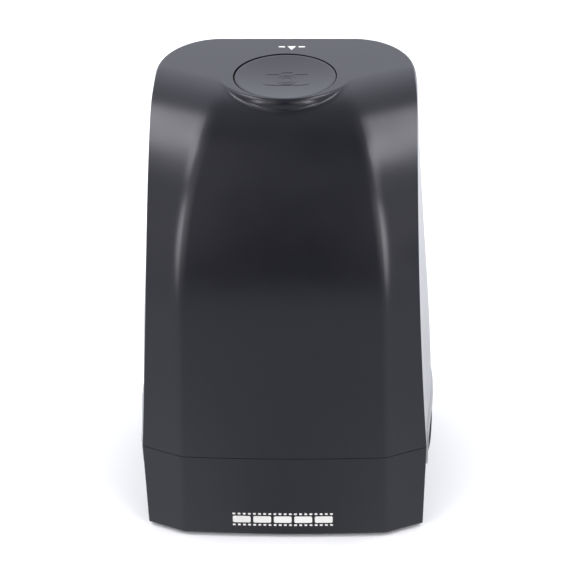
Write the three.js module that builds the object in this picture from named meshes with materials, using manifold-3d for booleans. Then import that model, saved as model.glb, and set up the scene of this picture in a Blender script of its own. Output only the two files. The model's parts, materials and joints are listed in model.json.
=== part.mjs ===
// A film negative scanner: a tower with one moulded cover over its front and top, a silver panel on
// each side, a slot that a film holder slides through, and a round capture button on the top.
// Millimetres, +Z up. The front faces -Y, and the origin is on the table under the middle of the base.

import * as THREE from "three";
import { mergeVertices } from "three/addons/utils/BufferGeometryUtils.js";
import Module from "manifold-3d";

const wasm = await Module();
wasm.setup();

// Overall form. Heights are taken from the lower rim of the base, which stands on four feet.
const bodyDepth = 86;
const bodyHeight = 124;
const seamHeight = 27;
const footStand = 0.8;
const wall = 2;
const housingGap = 0.3;
const seatGap = 0.1;
const cutOverrun = 2;

// The dark covers are widest at the seam, and draw in towards the lower rim and the top.
const seamHalfWidth = 42;
const rimDrawIn = 1;
const topDrawIn = 3;

// Front face: a centre facet and two side facets, which all roll over into the flat top.
// Each roll ends at a setback from the rear face.
const sideFacetWidth = 11.8;
const centreRollSetback = 31;
const sideRollSetback = 24.9;
const sideFacetSlopeShare = 0.5;
const creaseEaseShare = 5.7;
const frontCrown = 1;
const lowCreaseBlend = 0.4;
const highCreaseBlend = 1.2;

// Rear face and edges.
const rearTaper = 1.4;
const rearCornerWidth = 18;
const rearCornerDepth = 22;
const topEdgeWidth = 1.4;
const topEdgeDepth = 6;
const rimRound = 0.8;

// The round nose that carries the button above the rolling front.
const noseRadius = 22.8;
const noseFrontSetback = 45.3;
const noseBlend = 1.8;
const noseEdgeWidth = 1.7;
const noseEdgeDepth = 3;

// Parting lines between the covers and the side panels.
const partingLand = 1;
const topSkirt = 4.8;
const panelBottom = 15;
const panelRearSetback = 15;
const panelWall = 2;
const panelSeamBulge = 1.5;
const panelTopBulge = 0.3;
const panelFootBulge = 0.5;
const panelHump = 1.1;

// Film channel: the space that a film holder slides through, and the gate over the light.
const channelFrontSetback = 13;
const channelRearMargin = 4;
const channelHeight = 6.5;
const channelFloor = 20;
const mouthCorner = 1.5;
const mouthLipWidth = 1.4;
const mouthLipRise = 0.7;
const gateWidth = 36.6;
const gateDepth = 24.6;
const guideEndClearance = 1.5;
const lowerGuideThickness = 3;
const upperGuideThickness = 2.5;
const railWidth = 3;
const columnInset = 5.5;
const columnRadius = 2.8;

// Screws.
const screwHeadRadius = 2.3;
const screwHeadHeight = 1.2;
const screwShankRadius = 1;
const screwLength = 8;
const screwClearance = 0.3;
const screwCrownShare = 0.8;
const recessArm = 1.3;
const recessArmWidth = 0.5;
const recessDepth = 0.6;

// Bottom plate and feet.
const plateInset = 0.4;
const plateThickness = 2.6;
const footRadius = 4.5;
const footInset = 9;
const footRearSetback = 12;
const footSocketDepth = 0.6;
const footBevel = 0.4;

// Spring-loaded detents that hold a film holder at each frame.
const detentInset = 7.5;
const detentMargin = 0.9;
const detentTipRadius = 1.2;
const detentBodyRadius = 2.1;
const detentBodyHeight = 5;
const detentProud = 0.8;
const detentRoof = 1.5;
const detentSleeveWall = 1;
const detentClearance = 0.3;
const springWire = 0.5;
const springTurns = 6;

// Light source under the gate.
const lightBoxWidth = 50;
const lightBoxDepth = 38;
const lightBoxWall = 1.4;
const diffuserThickness = 2;
const diffuserLedge = 1.6;
const boardThickness = 1.6;
const ledCount = 3;
const ledSpacing = 12;
const ledWidth = 3.5;
const ledDepth = 2.8;
const ledHeight = 1.2;
const ledDishShare = 0.35;

// Optics above the gate.
const tunnelHeight = 32;
const tunnelWall = 1.6;
const tunnelThroat = 15;
const tunnelFlange = 3;
const tunnelFlangeThickness = 2;
const holderWidth = 28;
const holderThickness = 3;
const holderCollarWall = 2;
const holderCollarHeight = 7;
const holderPost = 4;
const barrelRadius = 6;
const barrelHeight = 17;
const barrelBore = 4.2;
const barrelCap = 1.2;
const barrelDrop = 1.5;
const lensThickness = 2.4;
const lensCrown = 0.8;
const lensClearance = 0.2;
const filterThickness = 0.8;
const sensorWidth = 10;
const sensorHeight = 1.6;
const sensorClearance = 1;

// Main board behind the optics, with the socket for the computer's lead.
const mainBoardSetback = 10.5;
const mainBoardWidth = 44;
const mainBoardBottom = 17;
const mainBoardHeight = 62;
const socketWidth = 7.7;
const socketHeight = 4;
const socketRise = 7;
const socketWall = 0.5;
const socketRecess = 0.5;
const socketCavity = 6;
const socketOpeningClearance = 0.5;
const boardBossX = 16;
const boardBossDrop = 17;
const bossRadius = 3;
const largeChipWidth = 12;
const smallChipWidth = 8;
const chipHeight = 1.4;
const ribbonWidth = 12;
const ribbonThickness = 0.3;
const ribbonBend = 3;
const ribbonLap = 6;
const ribbonCornerShare = 0.3;

// Capture button, its carrier and its switch.
const buttonSetback = 28.5;
const buttonRadius = 15;
const buttonGap = 0.3;
const buttonSink = 0.2;
const buttonWellDepth = 5.5;
const buttonSkirt = 4;
const buttonSkin = 1.6;
const buttonDish = 1.1;
const buttonRim = 0.7;
const buttonEdge = 0.2;
const buttonTravel = 0.8;
const retainerReach = 1.6;
const retainerThickness = 1.5;
const retainerFrontReach = 6.9;
const stemRadius = 2.5;
const stemLength = 4.5;
const carrierThickness = 2;
const carrierDepth = 14;
const carrierBossClearance = 1.4;
const carrierEdge = 4;
const buttonBoardWidth = 20;
const switchWidth = 6;
const switchHeight = 3.5;
const plungerRadius = 1.7;
const plungerProud = 1.2;
const plungerClearance = 0.3;

// How finely curved surfaces are faceted, and the places of their facets.
const frontColumnShares = [0, 0.2, 0.4, 0.6, 0.8, 0.93, 1];
const facetColumnShares = [0.15, 0.5, 1];
const sideSteps = 9;
const frontLevelShares = [
  0, 0.11, 0.22, 0.33, 0.43, 0.52, 0.6, 0.67, 0.72, 0.76, 0.8, 0.83, 0.86, 0.89, 0.92, 0.96, 1,
];
const panelLevelShares = [0, 0.117, 0.25, 0.38, 0.51, 0.64, 0.76, 0.86, 0.94, 1];
const humpPeakShare = 4 / 27;
const panelSteps = 8;
const roundSides = 16;
const buttonSides = 48;
const dishSteps = 4;
const cornerSteps = 3;
const tipSteps = 3;
const lensSteps = 3;
const springSideCount = 5;
const springStepsPerTurn = 8;
const weldTolerance = 1e-4;
const facetEndPasses = 8;

// Values worked out from the ones above.
const frontY = -bodyDepth / 2;
const rearY = bodyDepth / 2;
const rimHalfWidth = seamHalfWidth - rimDrawIn;
const topHalfWidth = seamHalfWidth - topDrawIn;
const centreFacetHalfWidth = seamHalfWidth - sideFacetWidth;
const centreRollY = rearY - centreRollSetback;
const sideRollY = rearY - sideRollSetback;
const noseCentreY = rearY - noseFrontSetback + noseRadius;
const capBottom = bodyHeight - topSkirt;
const panelRearY = rearY - panelRearSetback;
const channelFrontY = frontY + channelFrontSetback;
const channelRearY = panelRearY - channelRearMargin;
const channelWidth = channelRearY - channelFrontY;
const channelCentreY = (channelFrontY + channelRearY) / 2;
const channelRoof = channelFloor + channelHeight;
const guideHalfLength = seamHalfWidth - panelWall - guideEndClearance;
const columnX = guideHalfLength - columnInset;
const lowerGuideBottom = channelFloor - lowerGuideThickness;
const upperGuideTop = channelRoof + upperGuideThickness;
const columnFrontY = channelFrontY - railWidth;
const columnRearY = channelRearY + railWidth;
const footX = columnX - footInset;
const footRearY = rearY - footRearSetback;
const plateTop = plateInset + plateThickness;
const detentSleeveRadius = detentBodyRadius + detentClearance + detentSleeveWall;
const detentX = guideHalfLength - detentInset;
const detentY = channelRearY - detentSleeveRadius - detentMargin;
const detentBodyTop = channelFloor - detentRoof - seatGap;
const detentBodyBottom = detentBodyTop - detentBodyHeight;
const lightBoxBottom = plateTop + seatGap;
const lightBoxTop = lowerGuideBottom - seatGap;
const diffuserBottom = lightBoxTop - diffuserThickness - seatGap;
const ledBoardBottom = lightBoxBottom + lightBoxWall + seatGap;
const ledBottom = ledBoardBottom + boardThickness + seatGap;
const tunnelBottom = upperGuideTop + seatGap;
const tunnelTop = tunnelBottom + tunnelHeight;
const holderBottom = tunnelTop + seatGap;
const holderTop = holderBottom + holderThickness;
const barrelBottom = holderBottom - barrelDrop;
const barrelTop = barrelBottom + barrelHeight;
const filterBottom = barrelTop + seatGap;
const sensorBottom = filterBottom + filterThickness + sensorClearance;
const sensorBoardBottom = sensorBottom + sensorHeight + seatGap;
const mainBoardY = rearY - mainBoardSetback;
const mainBoardRearY = mainBoardY + boardThickness;
const mainBoardTop = mainBoardBottom + mainBoardHeight;
const boardBossZ = mainBoardTop - boardBossDrop;
const socketZ = mainBoardBottom + socketRise;
const buttonY = rearY - buttonSetback;
const carrierBossX = buttonRadius + retainerReach + bossRadius + carrierBossClearance;
const carrierHalfWidth = carrierBossX + carrierEdge;
const buttonTop = bodyHeight - buttonSink;
const buttonUnderside = buttonTop - buttonDish - buttonSkin;
const stemBottom = buttonUnderside - stemLength;
const plungerTop = stemBottom - seatGap;
const switchTop = plungerTop - plungerProud;
const switchBottom = switchTop - switchHeight;
const buttonBoardTop = switchBottom - seatGap;
const carrierTop = buttonBoardTop - boardThickness - seatGap;
const carrierBottom = carrierTop - carrierThickness;

const finishes = {
  charcoal: new THREE.MeshStandardMaterial({ color: 0x2c2c30, roughness: 0.42, metalness: 0 }),
  charcoalButton: new THREE.MeshStandardMaterial({ color: 0x2f2f33, roughness: 0.36, metalness: 0 }),
  silver: new THREE.MeshStandardMaterial({ color: 0xc3c4c9, roughness: 0.4, metalness: 0.3 }),
  blackPlastic: new THREE.MeshStandardMaterial({ color: 0x18181a, roughness: 0.7, metalness: 0 }),
  whitePlastic: new THREE.MeshStandardMaterial({ color: 0xe9e9e6, roughness: 0.55, metalness: 0 }),
  opal: new THREE.MeshStandardMaterial({ color: 0xf2f2ee, roughness: 0.5, metalness: 0 }),
  rubber: new THREE.MeshStandardMaterial({ color: 0x1b1b1b, roughness: 0.9, metalness: 0 }),
  steel: new THREE.MeshStandardMaterial({ color: 0xa9abae, roughness: 0.35, metalness: 1 }),
  laminate: new THREE.MeshStandardMaterial({ color: 0x1d5a3a, roughness: 0.6, metalness: 0 }),
  chip: new THREE.MeshStandardMaterial({ color: 0x1c1c1e, roughness: 0.6, metalness: 0 }),
  ledWhite: new THREE.MeshStandardMaterial({ color: 0xf3efd2, roughness: 0.4, metalness: 0 }),
  glass: new THREE.MeshStandardMaterial({ color: 0xc9dfe4, roughness: 0.05, metalness: 0 }),
  flex: new THREE.MeshStandardMaterial({ color: 0xc98b3a, roughness: 0.5, metalness: 0 }),
};

// A closed geometry as a solid that can be joined and cut.
function solidOf(geometry) {
  const bare = geometry.index ? geometry.toNonIndexed() : geometry.clone();
  bare.deleteAttribute("normal");
  bare.deleteAttribute("uv");
  const merged = mergeVertices(bare, weldTolerance);
  const mesh = new wasm.Mesh({
    numProp: 3,
    vertProperties: new Float32Array(merged.attributes.position.array),
    triVerts: new Uint32Array(merged.index.array),
  });
  return new wasm.Manifold(mesh);
}

function geometryOf(solid) {
  const mesh = solid.getMesh();
  const geometry = new THREE.BufferGeometry();
  geometry.setAttribute("position", new THREE.BufferAttribute(new Float32Array(mesh.vertProperties), 3));
  geometry.setIndex(new THREE.BufferAttribute(new Uint32Array(mesh.triVerts), 1));
  const flat = geometry.toNonIndexed();
  flat.computeVertexNormals();
  return flat;
}

function join(first, ...others) {
  return others.reduce((whole, other) => whole.add(other), first);
}

function cut(first, ...others) {
  return others.reduce((whole, other) => whole.subtract(other), first);
}

// A block between two opposite corners.
function block(low, high) {
  const size = high.map((value, axis) => value - low[axis]);
  const geometry = new THREE.BoxGeometry(...size);
  geometry.translate(...low.map((value, axis) => value + size[axis] / 2));
  return solidOf(geometry);
}

// An upright cylinder between two heights.
function column(radius, x, y, bottom, top, sides = roundSides) {
  const geometry = new THREE.CylinderGeometry(radius, radius, top - bottom, sides);
  geometry.rotateX(Math.PI / 2);
  geometry.translate(x, y, (bottom + top) / 2);
  return solidOf(geometry);
}

// A cylinder that lies along Y between two depths.
function spigot(radius, x, z, front, rear) {
  const geometry = new THREE.CylinderGeometry(radius, radius, rear - front, roundSides);
  geometry.translate(x, (front + rear) / 2, z);
  return solidOf(geometry);
}

// A profile of [radius, height] points, from the top of the axis to its foot, turned about Z.
function turned(profile, x, y, sides = roundSides) {
  const points = profile.map(([radius, height]) => new THREE.Vector2(radius, height)).reverse();
  const geometry = new THREE.LatheGeometry(points, sides);
  geometry.rotateX(Math.PI / 2);
  geometry.translate(x, y, 0);
  return solidOf(geometry);
}

// A block with round corners in plan, centred on x and y.
function roundedSlab(width, depth, corner, x, y, bottom, top) {
  const shape = new THREE.Shape();
  const right = width / 2;
  const back = depth / 2;
  shape.moveTo(corner - right, -back);
  shape.lineTo(right - corner, -back);
  shape.absarc(right - corner, corner - back, corner, -Math.PI / 2, 0);
  shape.lineTo(right, back - corner);
  shape.absarc(right - corner, back - corner, corner, 0, Math.PI / 2);
  shape.lineTo(corner - right, back);
  shape.absarc(corner - right, back - corner, corner, Math.PI / 2, Math.PI);
  shape.lineTo(-right, corner - back);
  shape.absarc(corner - right, corner - back, corner, Math.PI, 1.5 * Math.PI);
  const extrusion = { depth: top - bottom, bevelEnabled: false, curveSegments: cornerSteps };
  const geometry = new THREE.ExtrudeGeometry(shape, extrusion);
  geometry.translate(x, y, bottom);
  return solidOf(geometry);
}

// A side-view outline of [y, z] points, extruded across the part between two x places.
function acrossX(outline, left, right) {
  const shape = new THREE.Shape(outline.map(([y, z]) => new THREE.Vector2(y, z)));
  const geometry = new THREE.ExtrudeGeometry(shape, { depth: right - left, bevelEnabled: false });
  geometry.applyMatrix4(new THREE.Matrix4().set(0, 0, 1, left, 1, 0, 0, 0, 0, 1, 0, 0, 0, 0, 0, 1));
  return solidOf(geometry);
}

// A skin through rings of [x, y, z] points with equal counts, closed by a flat cap at each end.
function loft(rings) {
  const count = rings[0].length;
  const positions = rings.flat(2);
  const index = [];
  for (let level = 0; level + 1 < rings.length; level++) {
    for (let i = 0; i < count; i++) {
      const here = level * count + i;
      const next = level * count + ((i + 1) % count);
      index.push(here, next, next + count, here, next + count, here + count);
    }
  }
  const planOf = (ring) => ring.map(([x, y]) => new THREE.Vector2(x, y));
  for (const [a, b, c] of THREE.ShapeUtils.triangulateShape(planOf(rings[0]), [])) index.push(a, c, b);
  const last = (rings.length - 1) * count;
  for (const [a, b, c] of THREE.ShapeUtils.triangulateShape(planOf(rings.at(-1)), [])) {
    index.push(last + a, last + b, last + c);
  }
  const geometry = new THREE.BufferGeometry();
  geometry.setAttribute("position", new THREE.BufferAttribute(new Float32Array(positions), 3));
  geometry.setIndex(index);
  return solidOf(geometry);
}

// The larger and the smaller of two values, with a soft step where they are closer than blend.
function softMax(a, b, blend) {
  const near = Math.max(blend - Math.abs(a - b), 0) / blend;
  return Math.max(a, b) + (near * near * blend) / 4;
}

function softMin(a, b, blend) {
  return -softMax(-a, -b, blend);
}

// How far a quarter-round edge has drawn in at a distance from where its round begins.
function drawIn(round, distance) {
  const along = Math.min(Math.max(distance, 0), round);
  return round - Math.sqrt(round * round - along * along);
}

// Half the width of the dark covers at a height.
function coverHalfWidth(z) {
  if (z < seamHeight) return rimHalfWidth + ((seamHalfWidth - rimHalfWidth) * z) / seamHeight;
  const share = (z - seamHeight) / (bodyHeight - seamHeight);
  return topHalfWidth + (seamHalfWidth - topHalfWidth) * (1 - share) ** 2;
}

function backY(z) {
  return rearY - (rearTaper * z) / bodyHeight;
}

// The angle round the rolling front at a height, from 0 at the seam to a quarter turn at the top.
function rollAngle(z, inset) {
  const share = (z - seamHeight) / (bodyHeight - inset - seamHeight);
  return Math.asin(Math.min(Math.max(share, 0), 1));
}

// A horizontal section of the housing, as functions of x or y, inset from its outer surface.
function sectionAt(z, inset = 0) {
  const topRise = Math.max(z - bodyHeight + topEdgeDepth, 0) / topEdgeDepth;
  const topEdge = drawIn(topEdgeWidth, topEdgeWidth * topRise);
  const edge = inset > 0 ? 0 : topEdge + drawIn(rimRound, rimRound - z);
  const halfWidth = coverHalfWidth(z) - inset - edge;
  const rear = backY(z) - inset - edge;
  const angle = rollAngle(z, inset);
  const back = Math.cos(angle);
  const rise = Math.sin(angle);
  const creaseBlend = lowCreaseBlend + (highCreaseBlend - lowCreaseBlend) * rise;
  const rimEdge = z < seamHeight ? edge : 0;
  const centre = centreRollY - (centreRollY - frontY - inset - rimEdge) * back;
  const lean = (inset + rimEdge) * (Math.hypot(1, sideFacetSlopeShare) - 1) * back;
  const spread = sideRollY - centreRollY - frontCrown;
  const side = centre + frontCrown + lean + spread * rise ** creaseEaseShare;
  const centreY = (x) => centre + frontCrown * (x / centreFacetHalfWidth) ** 2;
  const sideY = (x) => side + sideFacetSlopeShare * (Math.abs(x) - centreFacetHalfWidth);
  const noseRise = Math.max(z - bodyHeight + noseEdgeDepth, 0) / noseEdgeDepth;
  const noseEdge = inset > 0 ? 0 : drawIn(noseEdgeWidth, noseEdgeWidth * noseRise);
  const noseReach = noseRadius - inset - noseEdge;
  const noseY = (x) => noseCentreY - Math.sqrt(Math.max(noseReach ** 2 - x * x, 0));
  const faceY = (x) => softMin(softMax(centreY(x), sideY(x), creaseBlend), noseY(x), noseBlend);
  const cornerY = rear - rearCornerDepth;
  const sideX = (y) => {
    const share = Math.min(Math.max(y - cornerY, 0) / rearCornerDepth, 1);
    return halfWidth - rearCornerWidth * (1 - Math.sqrt(1 - share * share));
  };
  const creaseX = centreFacetHalfWidth + (centre + frontCrown - side) / sideFacetSlopeShare;
  let facetEndX = halfWidth;
  for (let pass = 0; pass < facetEndPasses; pass++) facetEndX = (facetEndX + sideX(faceY(facetEndX))) / 2;
  const facetEndY = faceY(facetEndX);
  return { z, rear, faceY, sideX, creaseX: Math.min(creaseX, facetEndX), facetEndX, facetEndY };
}

// The points of a section, counter-clockwise from above, starting at the left end of the front face.
function sectionRing(section) {
  const facetSpan = section.facetEndX - section.creaseX;
  const half = frontColumnShares.map((share) => share * section.creaseX);
  half.push(...facetColumnShares.map((share) => section.creaseX + share * facetSpan));
  const across = [...half.slice(1).reverse().map((x) => -x), ...half];
  const front = across.map((x) => [x, section.faceY(x), section.z]);
  const right = [];
  for (let step = 1; step <= sideSteps; step++) {
    const share = Math.sin((step / sideSteps) * (Math.PI / 2));
    const y = section.facetEndY + (section.rear - section.facetEndY) * share;
    right.push([section.sideX(y), y, section.z]);
  }
  const left = right.map(([x, y, z]) => [-x, y, z]).reverse();
  return [...front, ...right, ...left];
}

// The whole housing as one solid up to an inset from its outer surface.
function housingSolid(inset = 0) {
  const top = bodyHeight - inset;
  const levels = inset > 0 ? [-cutOverrun] : [0, rimRound / 2, rimRound];
  for (const share of frontLevelShares) {
    levels.push(seamHeight + (top - seamHeight) * Math.sin((share * Math.PI) / 2));
  }
  return loft(levels.map((z) => sectionRing(sectionAt(z, inset))));
}

// The parting line beside the front face, as the depth of the cover's edge at a height.
function partingY(z) {
  return sectionAt(Math.max(z, seamHeight)).facetEndY + partingLand;
}

// Side-view outlines of the spaces that the shell is split into.
function frontCoverOutline() {
  const bottom = seamHeight + housingGap / 2;
  const edge = panelLevelShares.map((share) => {
    const z = bottom + share * (capBottom - bottom);
    return [partingY(z), z];
  });
  return [
    [frontY - cutOverrun, bottom],
    ...edge,
    [rearY + cutOverrun, capBottom],
    [rearY + cutOverrun, bodyHeight + cutOverrun],
    [frontY - cutOverrun, bodyHeight + cutOverrun],
  ];
}

function baseCoverOutline() {
  const bandTop = seamHeight - housingGap / 2;
  const bandRearY = partingY(seamHeight);
  return [
    [frontY - cutOverrun, -cutOverrun],
    [rearY + cutOverrun, -cutOverrun],
    [rearY + cutOverrun, panelBottom - housingGap],
    [bandRearY, panelBottom - housingGap],
    [bandRearY, bandTop],
    [frontY - cutOverrun, bandTop],
  ];
}

function rearCoverOutline() {
  const front = panelRearY + housingGap;
  return [
    [front, panelBottom],
    [rearY + cutOverrun, panelBottom],
    [rearY + cutOverrun, capBottom - housingGap],
    [front, capBottom - housingGap],
  ];
}

function shellPiece(shell, outline) {
  const reach = seamHalfWidth + cutOverrun;
  return shell.intersect(acrossX(outline, -reach, reach));
}

// Front and top cover, with the button's well and the two bosses that the button's carrier hangs from.
function frontCover(shell) {
  const skin = shellPiece(shell, frontCoverOutline());
  const bosses = [-1, 1].map((side) =>
    column(bossRadius, side * carrierBossX, buttonY, carrierTop + seatGap, bodyHeight - wall / 2),
  );
  const screwHoles = [-1, 1].map((side) =>
    column(
      screwShankRadius + screwClearance, side * carrierBossX, buttonY,
      carrierTop - cutOverrun, carrierBottom + screwLength + screwClearance, roundSides / 2,
    ),
  );
  const wellRadius = buttonRadius + buttonGap;
  const wellBottom = bodyHeight - buttonWellDepth;
  const well = column(wellRadius, 0, buttonY, wellBottom, bodyHeight + cutOverrun, buttonSides);
  return cut(join(skin, ...bosses), ...screwHoles, well);
}

function rearCover(shell) {
  const skin = shellPiece(shell, rearCoverOutline());
  const bossRearY = backY(boardBossZ) - wall / 2;
  const bosses = [-1, 1].map((side) =>
    spigot(bossRadius, side * boardBossX, boardBossZ, mainBoardRearY + seatGap, bossRearY),
  );
  const screwHoles = [-1, 1].map((side) =>
    spigot(
      screwShankRadius + screwClearance, side * boardBossX, boardBossZ,
      mainBoardRearY - cutOverrun, backY(boardBossZ) - wall,
    ),
  );
  const halfWidth = socketWidth / 2 + socketOpeningClearance;
  const halfHeight = socketHeight / 2 + socketOpeningClearance;
  const opening = block(
    [-halfWidth, rearY - wall * 2, socketZ - halfHeight],
    [halfWidth, rearY + cutOverrun, socketZ + halfHeight],
  );
  return cut(join(skin, ...bosses), ...screwHoles, opening);
}

// How far a side panel swells past the covers at a height, at the middle of its depth.
function panelBulge(z) {
  if (z < seamHeight) {
    const rise = (z - panelBottom) / (seamHeight - panelBottom);
    return panelFootBulge + (panelSeamBulge - panelFootBulge) * rise;
  }
  const share = (z - seamHeight) / (capBottom - seamHeight);
  const hump = (share * (1 - share) ** 2) / humpPeakShare;
  return panelSeamBulge + (panelTopBulge - panelSeamBulge) * share + panelHump * hump;
}

// One side panel's section at a height: its outer face from front to rear, then its inner face back.
function panelRing(z, rise) {
  const section = sectionAt(z);
  const front = partingY(z) + housingGap;
  const outer = [];
  const inner = [];
  for (let step = 0; step <= panelSteps; step++) {
    const share = step / panelSteps;
    const y = front + (panelRearY - front) * share;
    const swell = (panelBulge(z) * (1 - Math.cos(2 * Math.PI * share))) / 2;
    outer.push([section.sideX(y) + swell + rise, y, z]);
    inner.push([section.sideX(y) + swell - panelWall, y, z]);
  }
  return [...outer, ...inner.reverse()];
}

function panelSolid(rise) {
  const bottom = panelBottom;
  const top = capBottom - housingGap;
  return loft(panelLevelShares.map((share) => panelRing(bottom + share * (top - bottom), rise)));
}

// A rounded opening of the film channel's size, grown by a margin, that runs out through one side.
function mouth(margin) {
  const width = channelHeight + 2 * margin;
  const depth = channelWidth + 2 * margin;
  const shape = roundedSlab(width, depth, mouthCorner + margin, 0, channelCentreY, 0, seamHalfWidth);
  return shape.rotate([0, 90, 0]).translate([seamHalfWidth / 2, 0, channelFloor + channelHeight / 2]);
}

function sidePanel(side) {
  const lip = panelSolid(mouthLipRise).intersect(mouth(mouthLipWidth));
  const panel = cut(join(panelSolid(0), lip), mouth(0));
  return side > 0 ? panel : panel.mirror([1, 0, 0]);
}

// Places that come four to a set, in the same order for screws, columns and holes.
const columnPlaces = [
  [-columnX, columnFrontY],
  [columnX, columnFrontY],
  [-columnX, columnRearY],
  [columnX, columnRearY],
];
const footPlaces = [
  [-footX, columnFrontY],
  [footX, columnFrontY],
  [-footX, footRearY],
  [footX, footRearY],
];

// The plate that closes the base from below, with pockets for the feet and the screws.
function bottomPlate() {
  const inset = wall + housingGap;
  const plate = loft([plateInset, plateTop].map((z) => sectionRing(sectionAt(z, inset))));
  const pockets = footPlaces.map(([x, y]) =>
    column(footRadius + screwClearance, x, y, -cutOverrun, plateInset + footSocketDepth, roundSides),
  );
  const shankBore = screwShankRadius + screwClearance;
  const headBore = screwHeadRadius + screwClearance;
  const holes = columnPlaces.map(([x, y]) =>
    join(
      column(shankBore, x, y, -cutOverrun, plateTop + cutOverrun, roundSides / 2),
      column(headBore, x, y, -cutOverrun, plateInset + screwHeadHeight + seatGap),
    ),
  );
  return cut(plate, ...pockets, ...holes);
}

function foot([x, y]) {
  const top = plateInset + footSocketDepth - seatGap;
  return turned(
    [
      [0, top],
      [footRadius, top],
      [footRadius, footBevel - footStand],
      [footRadius - footBevel, -footStand],
      [0, -footStand],
    ],
    x, y,
  );
}

// A pan-head screw with a cross recess. Its head's seat is at z 0, and the shank points up.
function screw() {
  const body = turned(
    [
      [0, screwLength - screwHeadHeight],
      [screwShankRadius / 2, screwLength - screwHeadHeight],
      [screwShankRadius, screwLength - screwHeadHeight - screwShankRadius],
      [screwShankRadius, 0],
      [screwHeadRadius, 0],
      [screwHeadRadius, -screwHeadHeight / 2],
      [screwHeadRadius * screwCrownShare, -screwHeadHeight],
      [0, -screwHeadHeight],
    ],
    0, 0, roundSides / 2,
  );
  const low = -screwHeadHeight - cutOverrun;
  const high = recessDepth - screwHeadHeight;
  const half = recessArmWidth / 2;
  const slotAcross = block([-recessArm, -half, low], [recessArm, half, high]);
  const slotAlong = block([-half, -recessArm, low], [half, recessArm, high]);
  return cut(body, slotAcross, slotAlong);
}

function guideSlab(bottom, top) {
  return block(
    [-guideHalfLength, channelFrontY - railWidth, bottom],
    [guideHalfLength, channelRearY + railWidth, top],
  );
}

function gate(bottom, top) {
  return block(
    [-gateWidth / 2, channelCentreY - gateDepth / 2, bottom - cutOverrun],
    [gateWidth / 2, channelCentreY + gateDepth / 2, top + cutOverrun],
  );
}

// The chassis: the channel's floor and rails, four columns, and the two detents' sleeves.
function lowerGuide() {
  const railTop = channelRoof - seatGap;
  const floor = guideSlab(lowerGuideBottom, channelFloor);
  const rails = [
    block(
      [-guideHalfLength, channelFrontY - railWidth, lowerGuideBottom],
      [guideHalfLength, channelFrontY, railTop],
    ),
    block(
      [-guideHalfLength, channelRearY, lowerGuideBottom],
      [guideHalfLength, channelRearY + railWidth, railTop],
    ),
  ];
  const columns = columnPlaces.map(([x, y]) => column(columnRadius, x, y, plateTop + seatGap, railTop));
  const sleeveTop = channelFloor - detentRoof / 2;
  const sleeves = [-1, 1].map((side) =>
    column(detentSleeveRadius, side * detentX, detentY, plateTop + seatGap, sleeveTop),
  );
  const whole = join(floor, ...rails, ...columns, ...sleeves);
  const bore = screwShankRadius + screwClearance;
  const baseScrewTop = plateInset + screwLength + screwClearance;
  const guideScrewBottom = upperGuideTop + screwHeadHeight - screwLength - screwClearance;
  const holes = columnPlaces.flatMap(([x, y]) => [
    column(bore, x, y, 0, baseScrewTop, roundSides / 2),
    column(bore, x, y, guideScrewBottom, railTop + cutOverrun, roundSides / 2),
  ]);
  const tipBore = detentTipRadius + detentClearance;
  const bodyBore = detentBodyRadius + detentClearance;
  const bores = [-1, 1].map((side) =>
    join(
      column(tipBore, side * detentX, detentY, 0, channelFloor + cutOverrun, roundSides / 2),
      column(bodyBore, side * detentX, detentY, 0, channelFloor - detentRoof),
    ),
  );
  const clear = block(
    [-guideHalfLength - cutOverrun, channelFrontY, channelFloor],
    [guideHalfLength + cutOverrun, channelRearY, channelRoof + cutOverrun],
  );
  return cut(whole, ...holes, ...bores, gate(lowerGuideBottom, channelFloor), clear);
}

function upperGuide() {
  const ears = columnPlaces.map(([x, y]) => column(columnRadius, x, y, channelRoof, upperGuideTop));
  const bore = screwShankRadius + screwClearance;
  const holes = columnPlaces.map(([x, y]) =>
    column(bore, x, y, channelRoof - cutOverrun, upperGuideTop + cutOverrun, roundSides / 2),
  );
  const plate = join(guideSlab(channelRoof, upperGuideTop), ...ears);
  return cut(plate, ...holes, gate(channelRoof, upperGuideTop));
}

// A detent: a round tip that stands in the channel, on a wider body that the sleeve's roof holds back.
function detent(side) {
  const tip = channelFloor + detentProud;
  const dome = [];
  for (let step = 0; step <= tipSteps; step++) {
    const angle = ((step / tipSteps) * Math.PI) / 2;
    dome.push([detentTipRadius * Math.sin(angle), tip - detentTipRadius * (1 - Math.cos(angle))]);
  }
  return turned(
    [
      ...dome,
      [detentTipRadius, detentBodyTop],
      [detentBodyRadius, detentBodyTop],
      [detentBodyRadius, detentBodyBottom],
      [0, detentBodyBottom],
    ],
    side * detentX, detentY, roundSides / 2,
  );
}

// A compression spring: one wire wound between the bottom plate and a detent.
function detentSpring(side) {
  const bottom = plateTop + seatGap + springWire / 2;
  const top = detentBodyBottom - seatGap - springWire / 2;
  const coilRadius = detentBodyRadius - springWire;
  const steps = springTurns * springStepsPerTurn;
  const rings = [];
  for (let step = 0; step <= steps; step++) {
    const turn = (step / springStepsPerTurn) * 2 * Math.PI;
    const height = bottom + ((top - bottom) * step) / steps;
    const ring = [];
    for (let corner = 0; corner < springSideCount; corner++) {
      const around = (corner / springSideCount) * 2 * Math.PI;
      const radius = coilRadius + (springWire / 2) * Math.cos(around);
      const z = height + (springWire / 2) * Math.sin(around);
      ring.push([radius * Math.cos(turn), radius * Math.sin(turn), z]);
    }
    rings.push(ring);
  }
  return tube(rings).translate([side * detentX, detentY, 0]);
}

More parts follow.
